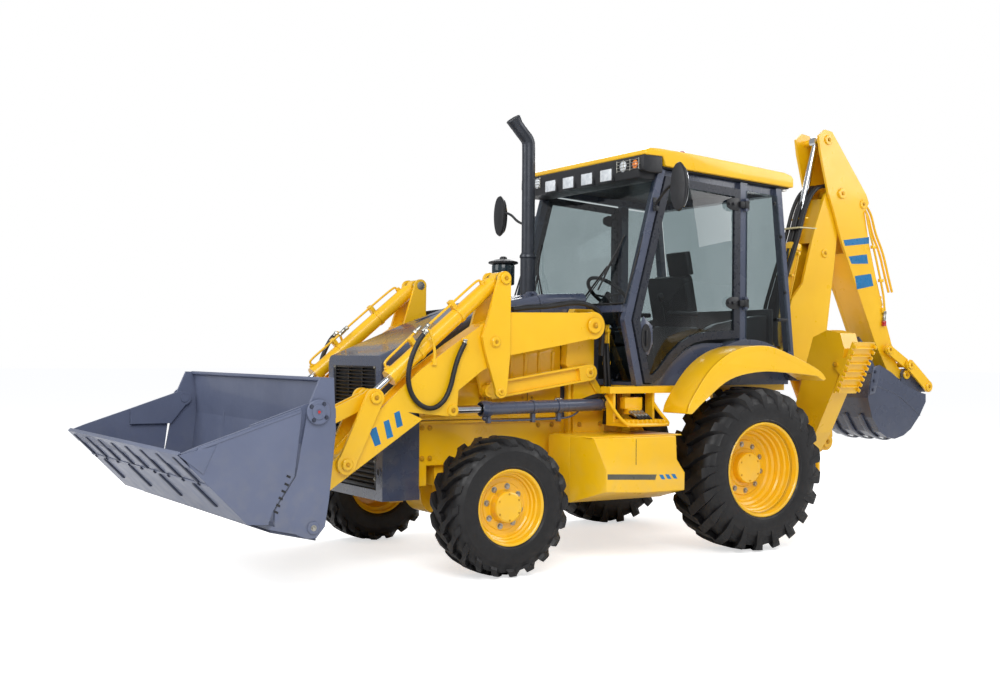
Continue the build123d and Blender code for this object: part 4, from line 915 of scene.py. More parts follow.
CARRIER_PINS = (  # node, centre (x, z), radius, y range
    ("lever_pins", LEVER_TOP, 32, (496, 733)),
    ("rocker_pins", ROCKER_PIVOT, 32, (490, 735)),
    ("link_pins", LINK_PIN, 26, (566, 664)),
    ("bucket_pins", BUCKET_PIN, 32, (530, 698)),
)
for node_name, pin_at, pin_r, pin_y in CARRIER_PINS:
    shown = finished(both_sides(round_bar_y(pin_at, pin_r, pin_y)), f"{node_name}_bars", ZINC, node_name)
    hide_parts(node_name)

TILT_AXIS = ((0.7719, -0.6358), (0.6358, 0.7719))   # along the tilt barrel, and up from it


def on_tilt(s, n, y=615):
    """Point s along the tilt cylinder from its upper pin and n above its axis."""
    (dx, dz), (nx, nz) = TILT_AXIS
    return mm(LEVER_TOP[0] + s * dx + n * nx, y, LEVER_TOP[1] + s * dz + n * nz)


def ferrule(start, end, r):
    """Crimped hose end: a hexagon, a waist and a long sleeve."""
    run = end - start
    hexagon = bar(start, start + run * 0.3, r * 1.25, 1, 6)
    waist = bar(start + run * 0.28, start + run * 0.42, r * 0.85, 0, 16)
    sleeve = bar(start + run * 0.4, end, r, 1.5, 20)
    return joined([hexagon, waist, sleeve])


def tilt_pipes():
    """The two steel pipes of each tilt cylinder, their clamps and bright hose ends."""
    body = "tilt_cylinders"
    routes = (  # pipe centre points as (along, above, y)
        [(1055, 50, 615), (1055, 88, 615), (1035, 104, 612), (940, 106, 606), (820, 106, 600),
         (735, 108, 596)],
        [(120, 48, 630), (122, 84, 632), (150, 96, 632), (300, 98, 636), (480, 98, 640), (640, 98, 640)],
    )
    pipes = [bent_pipe([on_tilt(*p) for p in route], 17) for route in routes]
    pair(pipes, "tilt_pipes", YELLOW, body)
    clamps = []
    for s in (400, 800):
        band_profile = [(54, -14), (61, -14), (61, 14), (54, 14)]
        clamps.append(turned(band_profile, on_tilt(s, 0), on_tilt(1, 0) - on_tilt(0, 0), 40))
        clamps.append(prism([on_tilt(s - 16, 52, 594), on_tilt(s + 16, 52, 594), on_tilt(s + 16, 116, 594),
                             on_tilt(s - 16, 116, 594)], (0, 0.052, 0), 3))
    for s, y in ((1055, 615), (120, 630)):
        clamps.append(bar(on_tilt(s, 40, y), on_tilt(s, 72, y), 19, 2, 24))
    pair(clamps, "tilt_pipe_clamps", YELLOW, body)
    ends = [ferrule(on_tilt(742, 108, 596), on_tilt(672, 112, 598), 14),
            ferrule(on_tilt(634, 98, 640), on_tilt(704, 92, 644), 14)]
    pair(ends, "tilt_hose_ends", ZINC, body)


def lift_pipes():
    """Steel pipe under each lift cylinder, its clamps and the hose end at the rear."""
    body = "lift_cylinders"
    route = [(2180, 1052), (2196, 1030), (2180, 1014), (2100, 1010), (1900, 1010), (1700, 1012),
             (1520, 1016),
             (1450, 1026), (1400, 1050), (1384, 1063)]
    pipe = bent_pipe([mm(x, 640, z) for x, z in route], 15)
    finished(both_sides(pipe), "lift_pipes", SLATE, body)
    clamps = [block((x - 14, x + 14), (622, 658), (994, 1064), 3) for x in (1560, 1780, 2150)]
    clamps.append(bar(mm(2180, 640, 1052), mm(2180, 640, 1022), 18, 2))
    clamps.append(turned([(44, -20), (53, -20), (53, 20), (44, 20)], mm(1560, 640, 1105), (1, 0, 0), 40))
    clamps.append(turned([(44, -13), (51, -13), (51, 13), (44, 13)], mm(1780, 640, 1101), (1, 0, 0), 40))
    clamps.append(turned([(45, -26), (58, -26), (58, 8), (52, 26), (45, 26)], mm(2186, 640, 1094),
                         (1, 0, 0), 40))
    pair(clamps, "lift_pipe_clamps", SLATE, body)
    ends = ferrule(mm(1560, 640, 1150), mm(1490, 640, 1132), 15)
    elbow = bent_pipe([mm(1585, 640, 1140), mm(1584, 640, 1160), mm(1560, 640, 1154)], 20)
    pair([ends, elbow], "lift_hose_ends", ZINC, body)


def hose(name, route, diameter, bend=None):
    """Hydraulic hose on both sides, riding on the chassis; given a bend, it rides on no body, and the body
    and stations in bend are not used.
    """
    made = bent_pipe([mm(x, y, z) for x, y, z in route], diameter, 14, 4)
    piece = finished(both_sides(made), name, RUBBER, None if bend else "chassis")
    if bend:
        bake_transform(piece)
    return piece


def loader_hoses():
    """Hose bundles at the arm pivots and behind the lift cylinders."""
    over = [(1960, 650, 1788), (1836, 650, 1806), (1690, 648, 1812), (1563, 646, 1832), (1434, 646, 1850),
            (1320, 640, 1846), (1205, 630, 1806), (1150, 618, 1716), (1140, 600, 1600), (1128, 575, 1470)]
    at_arm = ("loader_arms", (1160, 1720), (1440, 1840))
    hose("arm_hose_outer", over, 36, at_arm)
    inner = [(x - 14, y - 38, z + 6) for x, y, z in over]
    hose("arm_hose_inner", inner, 32, at_arm)
    lift = [(1492, 640, 1132), (1430, 640, 1120), (1340, 642, 1140), (1262, 648, 1168), (1180, 652, 1178),
            (1096, 640, 1140), (1040, 610, 1060), (1030, 560, 985)]
    hose("lift_hose", lift, 34, ("lift_cylinders", (1080, 1130), (1440, 1125)))
    for i, shift in enumerate((0, 34)):
        down = [(1100 - shift, 560, 1560), (1088 - shift, 556, 1400), (1070 - shift, 552, 1240),
                (1062 - shift, 550, 1080), (1064 - shift, 520, 960)]
        hose(f"tower_hose_{i}", down, 28)
    risers = [bent_pipe([mm(1022, y, z) for z in (985, 1200, 1450, 1700)], 17) for y in (472, 494, 516)]
    pair(risers, "tower_pipes", YELLOW)
    saddles = [block((1008, 1040), (462, 527), (z, z + 26), 3) for z in (1120, 1400, 1640)]
    pair(saddles, "tower_pipe_saddles", YELLOW)


LOOP = [(2703, 1600), (2716, 1590), (2749, 1542), (2798, 1440), (2822, 1315), (2796, 1205), (2727, 1128),
        (2633, 1100), (2545, 1150), (2493, 1247), (2462, 1380), (2420, 1490), (2385, 1545)]


def arm_loops():
    """Free hose loop on the outside of each arm, with its riser and both end fittings."""
    for side, sign in LEFT_RIGHT:
        points = [mm(x, sign * 716, z) for x, z in LOOP]
        rope = finished(tube(points, 34, 14, 4), f"arm_loop_{side}", RUBBER, "loader_arms")
        riser = [ferrule(mm(2676, sign * 716, 1630), mm(2712, sign * 716, 1592), 15),
                 ferrule(mm(2382, sign * 714, 1572), mm(2387, sign * 716, 1538), 15)]
        finished(joined(riser), f"arm_loop_ends_{side}", ZINC, "loader_arms")
        pipe = bent_pipe([mm(2612, sign * 698, 1420), mm(2612, sign * 712, 1500),
                          mm(2640, sign * 716, 1590),
                            mm(2664, sign * 716, 1636), mm(2680, sign * 716, 1628)], 20)
        foot = block((2596, 2628), sorted((sign * 684, sign * 710)), (1396, 1440), 4)
        clip = block((2368, 2402), sorted((sign * 688, sign * 716)), (1556, 1584), 4)
        finished(joined([pipe, foot, clip]), f"arm_loop_pipe_{side}", YELLOW, "loader_arms")


STRIPES = (
    [(3089, 972), (3036, 994), (3000, 881), (3044, 866)],
    [(2983, 1025), (2944, 1040), (2910, 927), (2955, 912)],
    [(2906, 1080), (2866, 1097), (2840, 998), (2884, 982)],
)


def arm_stripes():
    """Plain painted stripes on the outside of the loader arms."""
    painted = [plate(quad, (689.2, 690.8), 0) for quad in STRIPES]
    pair(painted, "arm_stripes", BLUE, "loader_arms")


tilt_pipes()
lift_pipes()
loader_hoses()
arm_loops()
arm_stripes()


# ---- loader bucket ---------------------------------------------------------------------
# Dark slate steel: its darkness is partly the worn steel's own tone and partly painted shade, standing for
# the shadow on and between the jaw's wear bars.
WORN_STEEL_AND_SHADE = plain("worn_steel_and_painted_shade", "", "#3D4252", "#4A4F5F", 0.42, metal=0.5, grain=8, bump=0.3)
FLOOR_TIP, FLOOR_RUN, FLOOR_OUT = (4535, 905), (-0.704, -0.711), (0.711, -0.704)
HALF = 1250               # half the loader bucket's width


def on_floor(s, n):
    """(x, z) point s behind the jaw's cutting edge and n outside its floor."""
    return (FLOOR_TIP[0] + s * FLOOR_RUN[0] + n * FLOOR_OUT[0],
            FLOOR_TIP[1] + s * FLOOR_RUN[1] + n * FLOOR_OUT[1])


def wear_bars():
    """Wear bars, cutting edge and bolts on the outside of the jaw's floor."""
    bars = []
    for centres, s0, s1 in (([-1130 + i * 323 for i in range(8)], 22, 235),
                            ([-970, -323, 323, 970], 262, 470)):
        for y in centres:
            outline = [on_floor(s0, -1), on_floor(s0 + 10, 12), on_floor(s1 - 10, 12), on_floor(s1, -1)]
            bars.append(plate(outline, (y - 19, y + 19), 3))
    # The wear bars' dark colour is partly painted shade for the shadow between them.
    finished(joined(bars), "jaw_wear_bars", WORN_STEEL_AND_SHADE, "clam_jaw")
    edge = plate([on_floor(-1, -22), on_floor(-1, 4), on_floor(110, 4), on_floor(110, -2)], (-HALF, HALF),
                 2)
    knee = plate([on_floor(236, -1), on_floor(236, 5), on_floor(258, 5), on_floor(258, -1)],
                 (-HALF, HALF), 2)
    finished(joined([edge, knee]), "jaw_cutting_edge", BUCKET, "clam_jaw")
    spots = [(mm(on_floor(247, 0)[0], y, on_floor(247, 0)[1]) + Vector((0.004, 0, -0.004)),
              (0.711, 0, -0.704))
             for y in [-1120 + i * 280 for i in range(9)]]
    finished(bolts(spots, 10), "jaw_floor_bolts", WORN_STEEL_AND_SHADE, "clam_jaw")


def bucket_sides():
    """Weld-on corner plates, pivot bosses, notch plates and rims of both side plates."""
    corner = plate([(4529, 901), (4313, 951), (4387, 789)], (1249, 1256), 2)
    rim = plate([(3800, 1142), (4420, 940), (4422, 922), (3803, 1124)], (1249, 1255), 2)
    pair([corner, rim], "jaw_corner_plates", BUCKET, "clam_jaw")
    notches = []
    for x, z in ((3888, 759), (3900, 714), (3918, 674), (3936, 635), (3951, 595), (3963, 557)):
        notches.append(plate([(x - 26, z - 4), (x - 2, z + 8), (x + 3, z - 4), (x - 22, z - 16)],
                             (1249, 1252), 1))
    pair(notches, "jaw_seam_notches", BLACK, "clam_jaw")
    boss = turned([(0.01, -2), (74, -2), (74, 7), (70, 11), (46, 11), (44, 16), (18, 16), (16, 13),
                   (0.01, 13)],
                  mm(3698, 1262, 1127), (0, 1, 0), 40)
    finished(both_sides(boss), "jaw_pivot_bosses", BUCKET, "loader_bucket")
    finished(both_sides(bolts(on_circle((3698, 1127), 1272, 57, 4, 0.6), 9)), "jaw_pivot_bolts", WORN_STEEL_AND_SHADE,
             "loader_bucket")
    finished(both_sides(round_bar_y((3698, 1127), 9, (1272, 1280), 1, 20)), "jaw_pivot_grease_caps", RED,
             "loader_bucket")
    low = turned([(0.01, -2), (38, -2), (38, 8), (34, 12), (0.01, 12)], mm(3721, 1250, 447), (0, 1, 0), 32)
    finished(both_sides(low), "bucket_foot_bosses", BUCKET, "loader_bucket")
    finished(both_sides(bolts([(mm(3721, 1261, 447), (0, 1, 0))], 12)), "bucket_foot_bolts", ZINC,
             "loader_bucket")


def bucket_back():
    """Top lip, back ribs and lower cutting edge of the fixed half."""
    lip = plate([(3590, 1300), (3590, 1327), (3634, 1329), (3636, 1308), (3618, 1300)],
                (-HALF + 4, HALF - 4), 4, 3)
    parts = [lip]
    for y in (-1000, -420, 0, 420, 1000):
        parts.append(plate([(3598, 1290), (3560, 1230), (3553, 1060), (3582, 1010)], (y - 9, y + 9), 3))
    parts.append(plate([(3590, 1140), (3566, 1146), (3564, 1086), (3586, 1080)], (-HALF + 30, HALF - 30),
                       3))
    finished(joined(parts), "bucket_back_ribs", BUCKET, "loader_bucket")
    low = plate([(3700, 383), (3985, 449), (3989, 436), (3702, 370)], (-HALF + 2, HALF - 2), 3)
    finished(low, "bucket_cutting_edge", WORN_STEEL_AND_SHADE, "loader_bucket")


wear_bars()
bucket_sides()
bucket_back()

# ---- body: nose, bonnet, side panels, stacks, tank boxes, step and fenders -----------------
def eased(points, parts=5):
    """Points of a smooth line through the given ones."""
    line = []
    for i in range(len(points) - 1):
        a, b, c, d = (Vector(points[max(0, min(len(points) - 1, i + k))]) for k in (-1, 0, 1, 2))
        for j in range(parts):
            t = j / parts
            line.append(tuple(0.5 * (2 * b + (c - a) * t + (2 * a - 5 * b + 4 * c - d) * t * t
                                     + (3 * b - a - 3 * c + d) * t ** 3)))
    return line + [tuple(points[-1])]


def lofted(near, far, edge=4, segments=3):
    """Closed solid between two outlines with the same number of frame points."""
    step = Vector((0, 0.001, 0))
    piece = prism(near, step, 0)
    for vertex in piece.data.vertices:
        for start, end in zip(near, far):
            if (vertex.co - start - step).length < 1e-6:
                vertex.co = end
                break
    piece.data.update()
    close_up()
    bevel(piece, edge, segments)
    return piece


def nose():
    """Slatted upper inset, framed lower grille and the bolts that hold them."""
    slats = [plate([(2842, z), (2862, z - 9), (2866, z - 3), (2846, z + 7)], (-318, 318), 1)
             for z in range(1072, 1372, 26)]
    surround = [block((2840, 2868), (y - 9, y + 9), (1048, 1384), 4) for y in (-330, 330)]
    surround += [block((2840, 2868), (-338, 338), z, 4) for z in ((1040, 1056), (1372, 1388))]
    surround += [block((2844, 2862), (y - 4, y + 4), (1052, 1380), 1) for y in (-110, 110)]
    finished(joined(slats + surround), "nose_louvre", BLACK)
    spots = [(mm(2868, y, z), (1, 0, 0)) for y in (-322, 322) for z in (1376, 1058)]
    finished(bolts(spots, 8), "nose_louvre_bolts", ZINC)
    bars = [plate([(2842, z), (2858, z - 14), (2862, z - 8), (2846, z + 9)], (-330, 330), 1)
            for z in range(600, 1010, 34)]
    bars += [block((2838, 2866), (y - 14, y + 14), (552, 1022), 5) for y in (-338, 338)]
    bars += [block((2838, 2866), (-350, 350), z, 5) for z in ((548, 574), (1004, 1026))]
    finished(joined(bars), "lower_grille_bars", BLACK)
    spots = [(mm(2866, y, z), (1, 0, 0)) for y in (-338, 338) for z in (615, 736, 960)]
    finished(bolts(spots, 9), "lower_grille_bolts", ZINC)
    rings, holes = [], []
    for y in (-404, 404):
        rings.append(turned([(21, -3), (31, -3), (31, 3), (27, 6), (21, 6)], mm(2870, y, 667), (1, 0, 0),
                            32))
        # Painted shade: the black discs fill the holes inside the rims and stand for the holes' dark depth.
        holes.append(bar(mm(2868, y, 667), mm(2872, y, 667), 21, 0, 32))
    finished(joined(rings), "nose_hole_rims", SLATE)
    finished(joined(holes), "nose_hole_painted_shade", BLACK)


def bonnet_trim():
    """Catches at the bonnet's foot and the two pressed ribs along its top."""
    bumpers = [block((x, x + 46), sorted((s * 431, s * 439)), (1058, 1092), 3) for x in (1700, 2560)
               for _, s in LEFT_RIGHT]
    finished(joined(bumpers), "bonnet_catches", BLACK, "bonnet")
    rib = [plate([(1640, 1912), (2240, 1725), (2236, 1717), (1640, 1902)], sorted((s * 262, s * 276)), 3)
           for _, s in LEFT_RIGHT]
    finished(joined(rib), "bonnet_ribs", SLATE, "bonnet")


PANEL = [(1412, 1014), (2586, 1014), (2586, 1190), (2300, 1330), (2000, 1470), (1412, 1545)]


def side_panels():
    """Yellow engine side panels with pressed ribs, seams and fasteners."""
    parts = [plate(PANEL, (441, 449), 2)]
    for x in (1480, 1600, 1720, 1840, 1960):
        parts.append(plate([(x - 15, 1290), (x + 15, 1290), (x + 13, 1492), (x - 13, 1498)], (446, 459), 5))
    parts.append(block((1412, 2586), (447, 456), (1014, 1036), 3))
    parts.append(plate([(1412, 1262), (2420, 1262), (2396, 1278), (1412, 1278)], (447, 454), 3))
    pair(parts, "engine_side_panels", YELLOW)
    seams = [block((x - 2, x + 2), (448.5, 450), (1040, 1258), 0.4) for x in (1700, 2060, 2330)]
    pair(seams, "side_panel_seams", BLACK)
    spots = [(mm(x, 449, z), (0, 1, 0)) for x in (1450, 1660, 1740, 2020, 2100, 2290, 2370, 2550)
             for z in (1062, 1160)]
    finished(both_sides(bolts(spots, 7)), "side_panel_bolts", BOLT)


def frame_trim():
    """Bolts and stiffeners of the frame plates and loader towers, and the kingpin caps."""
    spots = [(mm(x, 440, z), (0, 1, 0)) for x in (1480, 1600, 2500, 2560) for z in (750, 960)]
    spots += [(mm(x, 520, z), (0, 1, 0)) for x, z in ((1100, 830), (1290, 830), (1100, 960), (1290, 960),
                                                      (1200, 1770), (1300, 1770))]
    finished(both_sides(bolts(spots, 13)), "frame_bolts", BOLT)
    ribs = [block((1400, 2580), (441, 456), (988, 1008), 4),
            block((1345, 1372), (441, 500), (790, 1290), 4)]
    ribs.append(plate([(1120, 1190), (1146, 1190), (1240, 1330), (1226, 1346)], (520, 532), 4))
    pair(ribs, "frame_stiffeners", YELLOW)
    for label, side in reversed(LEFT_RIGHT):
        cap = bar(mm(FRONT_AXLE, side * 690, 585), mm(FRONT_AXLE, side * 690, 622), 40, 5)
        finished(cap, f"steer_{label}_kingpin_cap", YELLOW, f"steer_{label}")


def stacks():
    """Exhaust with its flared tip, and the air pre-cleaner with its bowl."""
    ex, ey = 1495, 130
    sleeve = turned([(44, 1330), (58, 1330), (58, 2196), (64, 2204), (64, 2216), (55, 2232), (52, 2236),
                     (52, 2240), (44, 2240)], mm(ex, ey, 0), (0, 0, 1), 40)
    route = [(ex, ey, 2228), (ex, ey, 2700), (ex, ey, 3030), (ex + 4, ey, 3088), (ex + 52, ey, 3134),
             (ex + 108, ey, 3192), (ex + 140, ey, 3236)]
    pipe = bent_pipe([mm(*p) for p in route], 100, 16, 8)
    tip = mm(ex + 140, ey, 3236)
    lean = Vector((0.58, 0, 0.81))
    flare = turned([(44, -60), (50, -60), (56, -10), (59, 0), (54, 4), (49, -8)], tip, lean, 40)
    flange = block((ex - 66, ex + 66), (60, 200), (1330, 1500), 6)
    exhaust = finished(joined([sleeve, pipe, flare, flange]), "exhaust_stack", STACK)
    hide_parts("stacks")
    # Painted shade: the capped pipe's mouth gets a flat black disc that stands for the dark depth of the
    # open bore.
    finished(bar(tip - lean * 0.02, tip + lean * 0.0006, 48, 0, 32), "exhaust_bore_painted_shade", BLACK)
    ix, iy = 1445, -300
    base = turned([(0.01, 1560), (45, 1560), (45, 1960), (50, 1966), (50, 1990), (60, 1996), (60, 2012),
                   (0.01, 2012)], mm(ix, iy, 0), (0, 0, 1), 40)
    hat = turned([(0.01, 2176), (92, 2176), (116, 2184), (118, 2192), (112, 2200), (60, 2216), (30, 2220),
                  (28, 2232), (18, 2240), (0.01, 2240)], mm(ix, iy, 0), (0, 0, 1), 48)
    vanes = [block((ix - 70, ix + 70), (iy - 3, iy + 3), (2030, 2174), 1),
             block((ix - 3, ix + 3), (iy - 70, iy + 70), (2030, 2174), 1),
             round_post((ix, iy), 30, (2010, 2178))]
    clamp = turned([(45, 1900), (52, 1900), (52, 1918), (45, 1918)], mm(ix, iy, 0), (0, 0, 1), 40)
    filter_box = block((ix - 68, ix + 73), (-378, 10), (1442, 1562), 12)
    drain = block((ix - 28, ix + 38), (-148, -12), (1022, 1446), 8)
    finished(joined([base, hat, clamp, filter_box, drain] + vanes), "air_precleaner", BLACK)
    bowl = turned([(60, 2012), (84, 2018), (88, 2030), (90, 2160), (86, 2178), (82, 2176), (85, 2160),
                   (84, 2032), (80, 2022), (60, 2016)], mm(ix, iy, 0), (0, 0, 1), 48)
    finished(bowl, "precleaner_bowl", SMOKED)


def round_post(at, r, z):
    """Round upright at an (x, y) point."""
    return bar(mm(at[0], at[1], z[0]), mm(at[0], at[1], z[1]), r, 2)


def tank_boxes():
    """Side boxes with raked ends, a chamfered foot, door seams and a plain grey stripe."""
    inner = [(737, 898), (737, 640), (737, 560), (760, 428), (1100, 428), (1570, 428), (1570, 640),
             (1570, 898)]
    outer = [(816, 896), (806, 726), (731, 628), (732, 500), (1100, 500), (1436, 520), (1437, 668),
             (1548, 896)]
    made = lofted([mm(x, 800, z) for x, z in inner], [mm(x, 1059, z) for x, z in outer], 7)
    core = block((737, 1570), (532, 802), (428, 898), 5)
    mount = block((760, 1040), (381, 536), (602, 718), 4)
    step = plate([(745, 896), (1560, 896), (1548, 906), (756, 906)], (560, 1040), 3)
    shell = pair([made, core, mount, step], "side_boxes", YELLOW)
    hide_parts("side_tanks")
    stripe = plate([(1429, 644), (994, 624), (1007, 587), (1429, 607)], (1057.5, 1060.2), 0)
    finished(both_sides(stripe), "side_box_stripes", STRIPE_GREY)
    slashes = [plate([(x, 622), (x - 34, 620), (x - 58, 586), (x - 24, 588)], (1057.5, 1060.2), 0)
               for x in (972, 916, 860)]
    pair(slashes, "side_box_slashes", BLUE)
    seam = block((1178, 1182), (1058, 1060.6), (700, 880), 0.4)
    finished(both_sides(seam), "side_box_seams", BLACK)


def steps():
    """Serrated tread of each step, its round hand loop, and the valve block above it."""
    teeth = []
    for i in range(9):
        x = 812 + i * 41
        teeth.append(plate([(x, 984), (x + 12, 1006), (x + 20, 1008), (x + 26, 984)], (728, 946), 1))
    pair(teeth, "step_treads", YELLOW)
    loop = bent_pipe([mm(*p)
                      for p in ((1188, 712, 1180), (1188, 800, 1080), (1192, 940, 985), (1150, 972, 974),
                                         (990, 975, 972), (830, 972, 974), (790, 940, 985),
                                         (792, 800, 1080),
                                         (792, 712, 1180))], 26)
    finished(both_sides(loop), "step_loops", YELLOW)
    bracket = [block((905, 1065), (715, 780), (1080, 1165), 5),
               block((925, 1045), (735, 800), (1040, 1084), 4)]
    pair(bracket, "valve_brackets", YELLOW)
    ends = [ferrule(mm(x, 800, 1062), mm(x - 14, 866, 1030), 12) for x in (938, 972, 1006, 1036)]
    pair(ends, "valve_hose_ends", ZINC)
    lines = [bent_pipe([mm(x - 14, 866, 1030), mm(x - 30, 884, 1010), mm(x - 60, 860, 990),
                        mm(x - 70, 780, 1000),
                          mm(x - 70, 690, 1040)], 22) for x in (938, 972, 1006, 1036)]
    pair(lines, "valve_hoses", RUBBER)


FENDER_TOP = [(770, 1055), (745, 1130), (648, 1265), (560, 1365), (458, 1444), (340, 1505),
              (214, 1540), (60, 1552), (-90, 1536), (-351, 1450), (-560, 1362), (-625, 1300)]
FENDER_UNDER = [(-600, 1285), (-545, 1312), (-330, 1400), (-90, 1490), (60, 1508), (200, 1497),
                (320, 1462), (430, 1405), (530, 1330), (610, 1240), (700, 1118), (725, 1050)]
FENDER_LIP = [(-600, 1290), (-545, 1318), (-247, 1345), (62, 1355), (360, 1300), (590, 1156), (725, 1052)]


def fenders():
    """Rolled fenders with a rounded outer edge and a deep outer lip."""
    top, under = eased(FENDER_TOP), eased(FENDER_UNDER)
    skin = plate(top + under, (846, 1129), 12, 4)
    lip = plate(top + eased(FENDER_LIP), (1106, 1130), 9, 4)
    shell = finished(both_sides(joined([skin, lip])), "fender_shells", YELLOW, soft_angle=40)
    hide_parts("fenders")


SMOKED = plain("smoked_polycarbonate", "", "#1C2A30", "#243238", 0.12, grain=30, bump=0.02)
STRIPE_GREY = plain("grey_stripe_paint", "", "#5B5A4E", "#545347", 0.32, grain=9, bump=0.04)

nose()
bonnet_trim()
side_panels()
frame_trim()
stacks()
tank_boxes()
steps()
fenders()

# ---- digging arm -------------------------------------------------------------------------
HOE_CAPS = (  # name, centre (x, z), face y, radius, height, body
    ("boom_foot", (-1690, 720), 130, 52, 12, "swing_post"),
    ("boom_cylinder_foot", (-1560, 1020), 87, 40, 12, "swing_post"),
    ("crowd_foot", (-1110, 1400), 118, 44, 13, "hoe_boom"),
    ("boom_cylinder_top", (-1656, 2389), 118, 40, 14, "hoe_boom"),
    ("boom_top", (-1830, 2928), 156, 46, 14, "hoe_boom"),
    ("dipper_top", (-1660, 3392), 150, 44, 14, "dipper"),
    ("curl_foot", (-2106, 2852), 150, 40, 14, "dipper"),
    ("hoe_rocker_foot", (-2410, 1540), 208, 38, 11, "dipper"),
    ("hoe_hinge", (-2660, 1310), 181, 42, 12, "dipper"),
    ("hoe_rocker_end", (-2660, 1400), 236, 38, 11, "hoe_rockers"),
    ("hoe_link_end", (-2910, 1200), 231, 42, 12, "hoe_link"),
)
for cap_row in HOE_CAPS:
    pin_cap(*cap_row)

HOE_STRIPES = (
    [(-1859, 2515), (-2187, 2560), (-2188, 2500), (-1879, 2463)],
    [(-1925, 2371), (-2160, 2402), (-2180, 2318), (-1964, 2306)],
    [(-2007, 2199), (-2215, 2228), (-2250, 2120), (-2035, 2079)],
)


def hoe_paint():
    """Plain painted stripes on both sides of the dipper."""
    painted = [plate(quad, (149, 150.8), 0) for quad in HOE_STRIPES]
    pair(painted, "dipper_stripes", BLUE, "dipper")


def boom_hoses():
    """Hose bundle up the cab side of the boom, with its strap."""
    line = [(-1120, 1560), (-1100, 1700), (-1120, 1880), (-1190, 2067), (-1232, 2180), (-1318, 2390),
            (-1390, 2578), (-1446, 2766), (-1535, 2925), (-1640, 2990), (-1730, 3000)]
    tubes = []
    for y, shift, size in ((82, 0, 36), (44, -16, 34), (6, -6, 34), (-34, -14, 34), (-74, 0, 34)):
        tubes.append(bent_pipe([mm(x + shift, y, z) for x, z in line], size, 14, 4))
    finished(joined(tubes), "boom_hoses", RUBBER, "hoe_boom")
    strap = [block((-1425, -1350), (-98, 108), (2596, 2610), 3),
             block((-1560, -1350), (102, 119), (2598, 2608), 2)]
    finished(joined(strap), "boom_hose_strap", STRAP, "hoe_boom")
    guards = [block((x - 16, x + 16), (-110, 110), (z - 8, z + 8), 4)
              for x, z in ((-1282, 2180), (-1450, 2690))]
    finished(joined(guards), "boom_hose_guards", YELLOW, "hoe_boom")


def dipper_pipes():
    """Steel pipes down the dipper's back and side, their saddles and the capped outlet."""
    back = [(-2200, 2850), (-2266, 2800), (-2327, 2602), (-2428, 2442), (-2500, 2223), (-2556, 2072)]
    pipes = [bent_pipe([mm(x, y, z) for x, z in back], 22) for y in (58, 98)]
    finished(joined(pipes), "dipper_back_pipes", YELLOW, "dipper")
    side = [(-2130, 2790), (-2167, 2641), (-2247, 2427), (-2349, 2103), (-2376, 1990), (-2383, 1884)]
    pipe = bent_pipe([mm(x, 164, z) for x, z in side], 20)
    foot = ferrule(mm(-2383, 164, 1890), mm(-2376, 164, 1800), 15)
    saddles = [block((x - 24, x + 24), (149, 178), (z - 15, z + 15), 3)
               for x, z in ((-2230, 2470), (-2330, 2170))]
    saddles.append(block((-2398, -2350), (149, 166), (1875, 1925), 3))
    finished(joined([pipe] + saddles), "dipper_side_pipe", YELLOW, "dipper")
    finished(foot, "dipper_outlet", ZINC, "dipper")
    cap = turned([(0.01, 0), (19, 0), (21, 10), (21, 42), (17, 48), (0.01, 48)], mm(-2376, 164, 1802),
                 (0.07, 0, -1), 28)
    finished(cap, "dipper_outlet_cap", RED, "dipper")
    hoses = []
    for y, drop in ((58, 0), (98, 14)):
        bend = [(-1900, 3010), (-1990, 3040), (-2110, 3010 - drop), (-2190, 2940), (-2205, 2850)]
        hoses.append(bent_pipe([mm(x, y, z) for x, z in bend], 32, 14, 4))
    finished(joined(hoses), "dipper_hoses", RUBBER, "dipper")


def cylinder_bands():
    """Gland rings, ports and pipes of the hoe's cylinders."""
    rows = (  # body, barrel foot, eye, gland distance, barrel radius
        ("boom_cylinder", (-1560, 1020), (-1656, 2389), 1225, 56),
        ("crowd_cylinder", (-1110, 1400), (-1660, 3392), 1100, 66),
        ("curl_cylinder", (-2106, 2852), (-2660, 1400), 980, 55),
    )
    for body, foot, eye, reach, r in rows:
        start, way = mm(foot[0], 0, foot[1]), (mm(eye[0], 0, eye[1]) - mm(foot[0], 0, foot[1])).normalized()
        side = Vector((0, 1, 0))
        gland = turned([(r - 8, -58), (r + 8, -58), (r + 8, -6), (r + 2, 4), (r - 20, 6), (r - 24, 0)],
                       start + way * reach / 1000, way, 48)
        port_up = start + way * (reach - 90) / 1000
        port_low = start + way * 0.17
        ports = [bar(p + side * (r - 6) / 1000, p + side * (r + 26) / 1000, 17, 2)
                 for p in (port_up, port_low)]
        line = [port_up + side * (r + 14) / 1000, port_up + side * (r + 20) / 1000 - way * 0.05,
                port_low + side * (r + 20) / 1000 + way * 0.35,
                port_low + side * (r + 14) / 1000 + way * 0.12]
        pipe = bent_pipe(line, 15)
        finished(joined([gland, pipe] + ports), f"{body}_fittings", YELLOW, body)


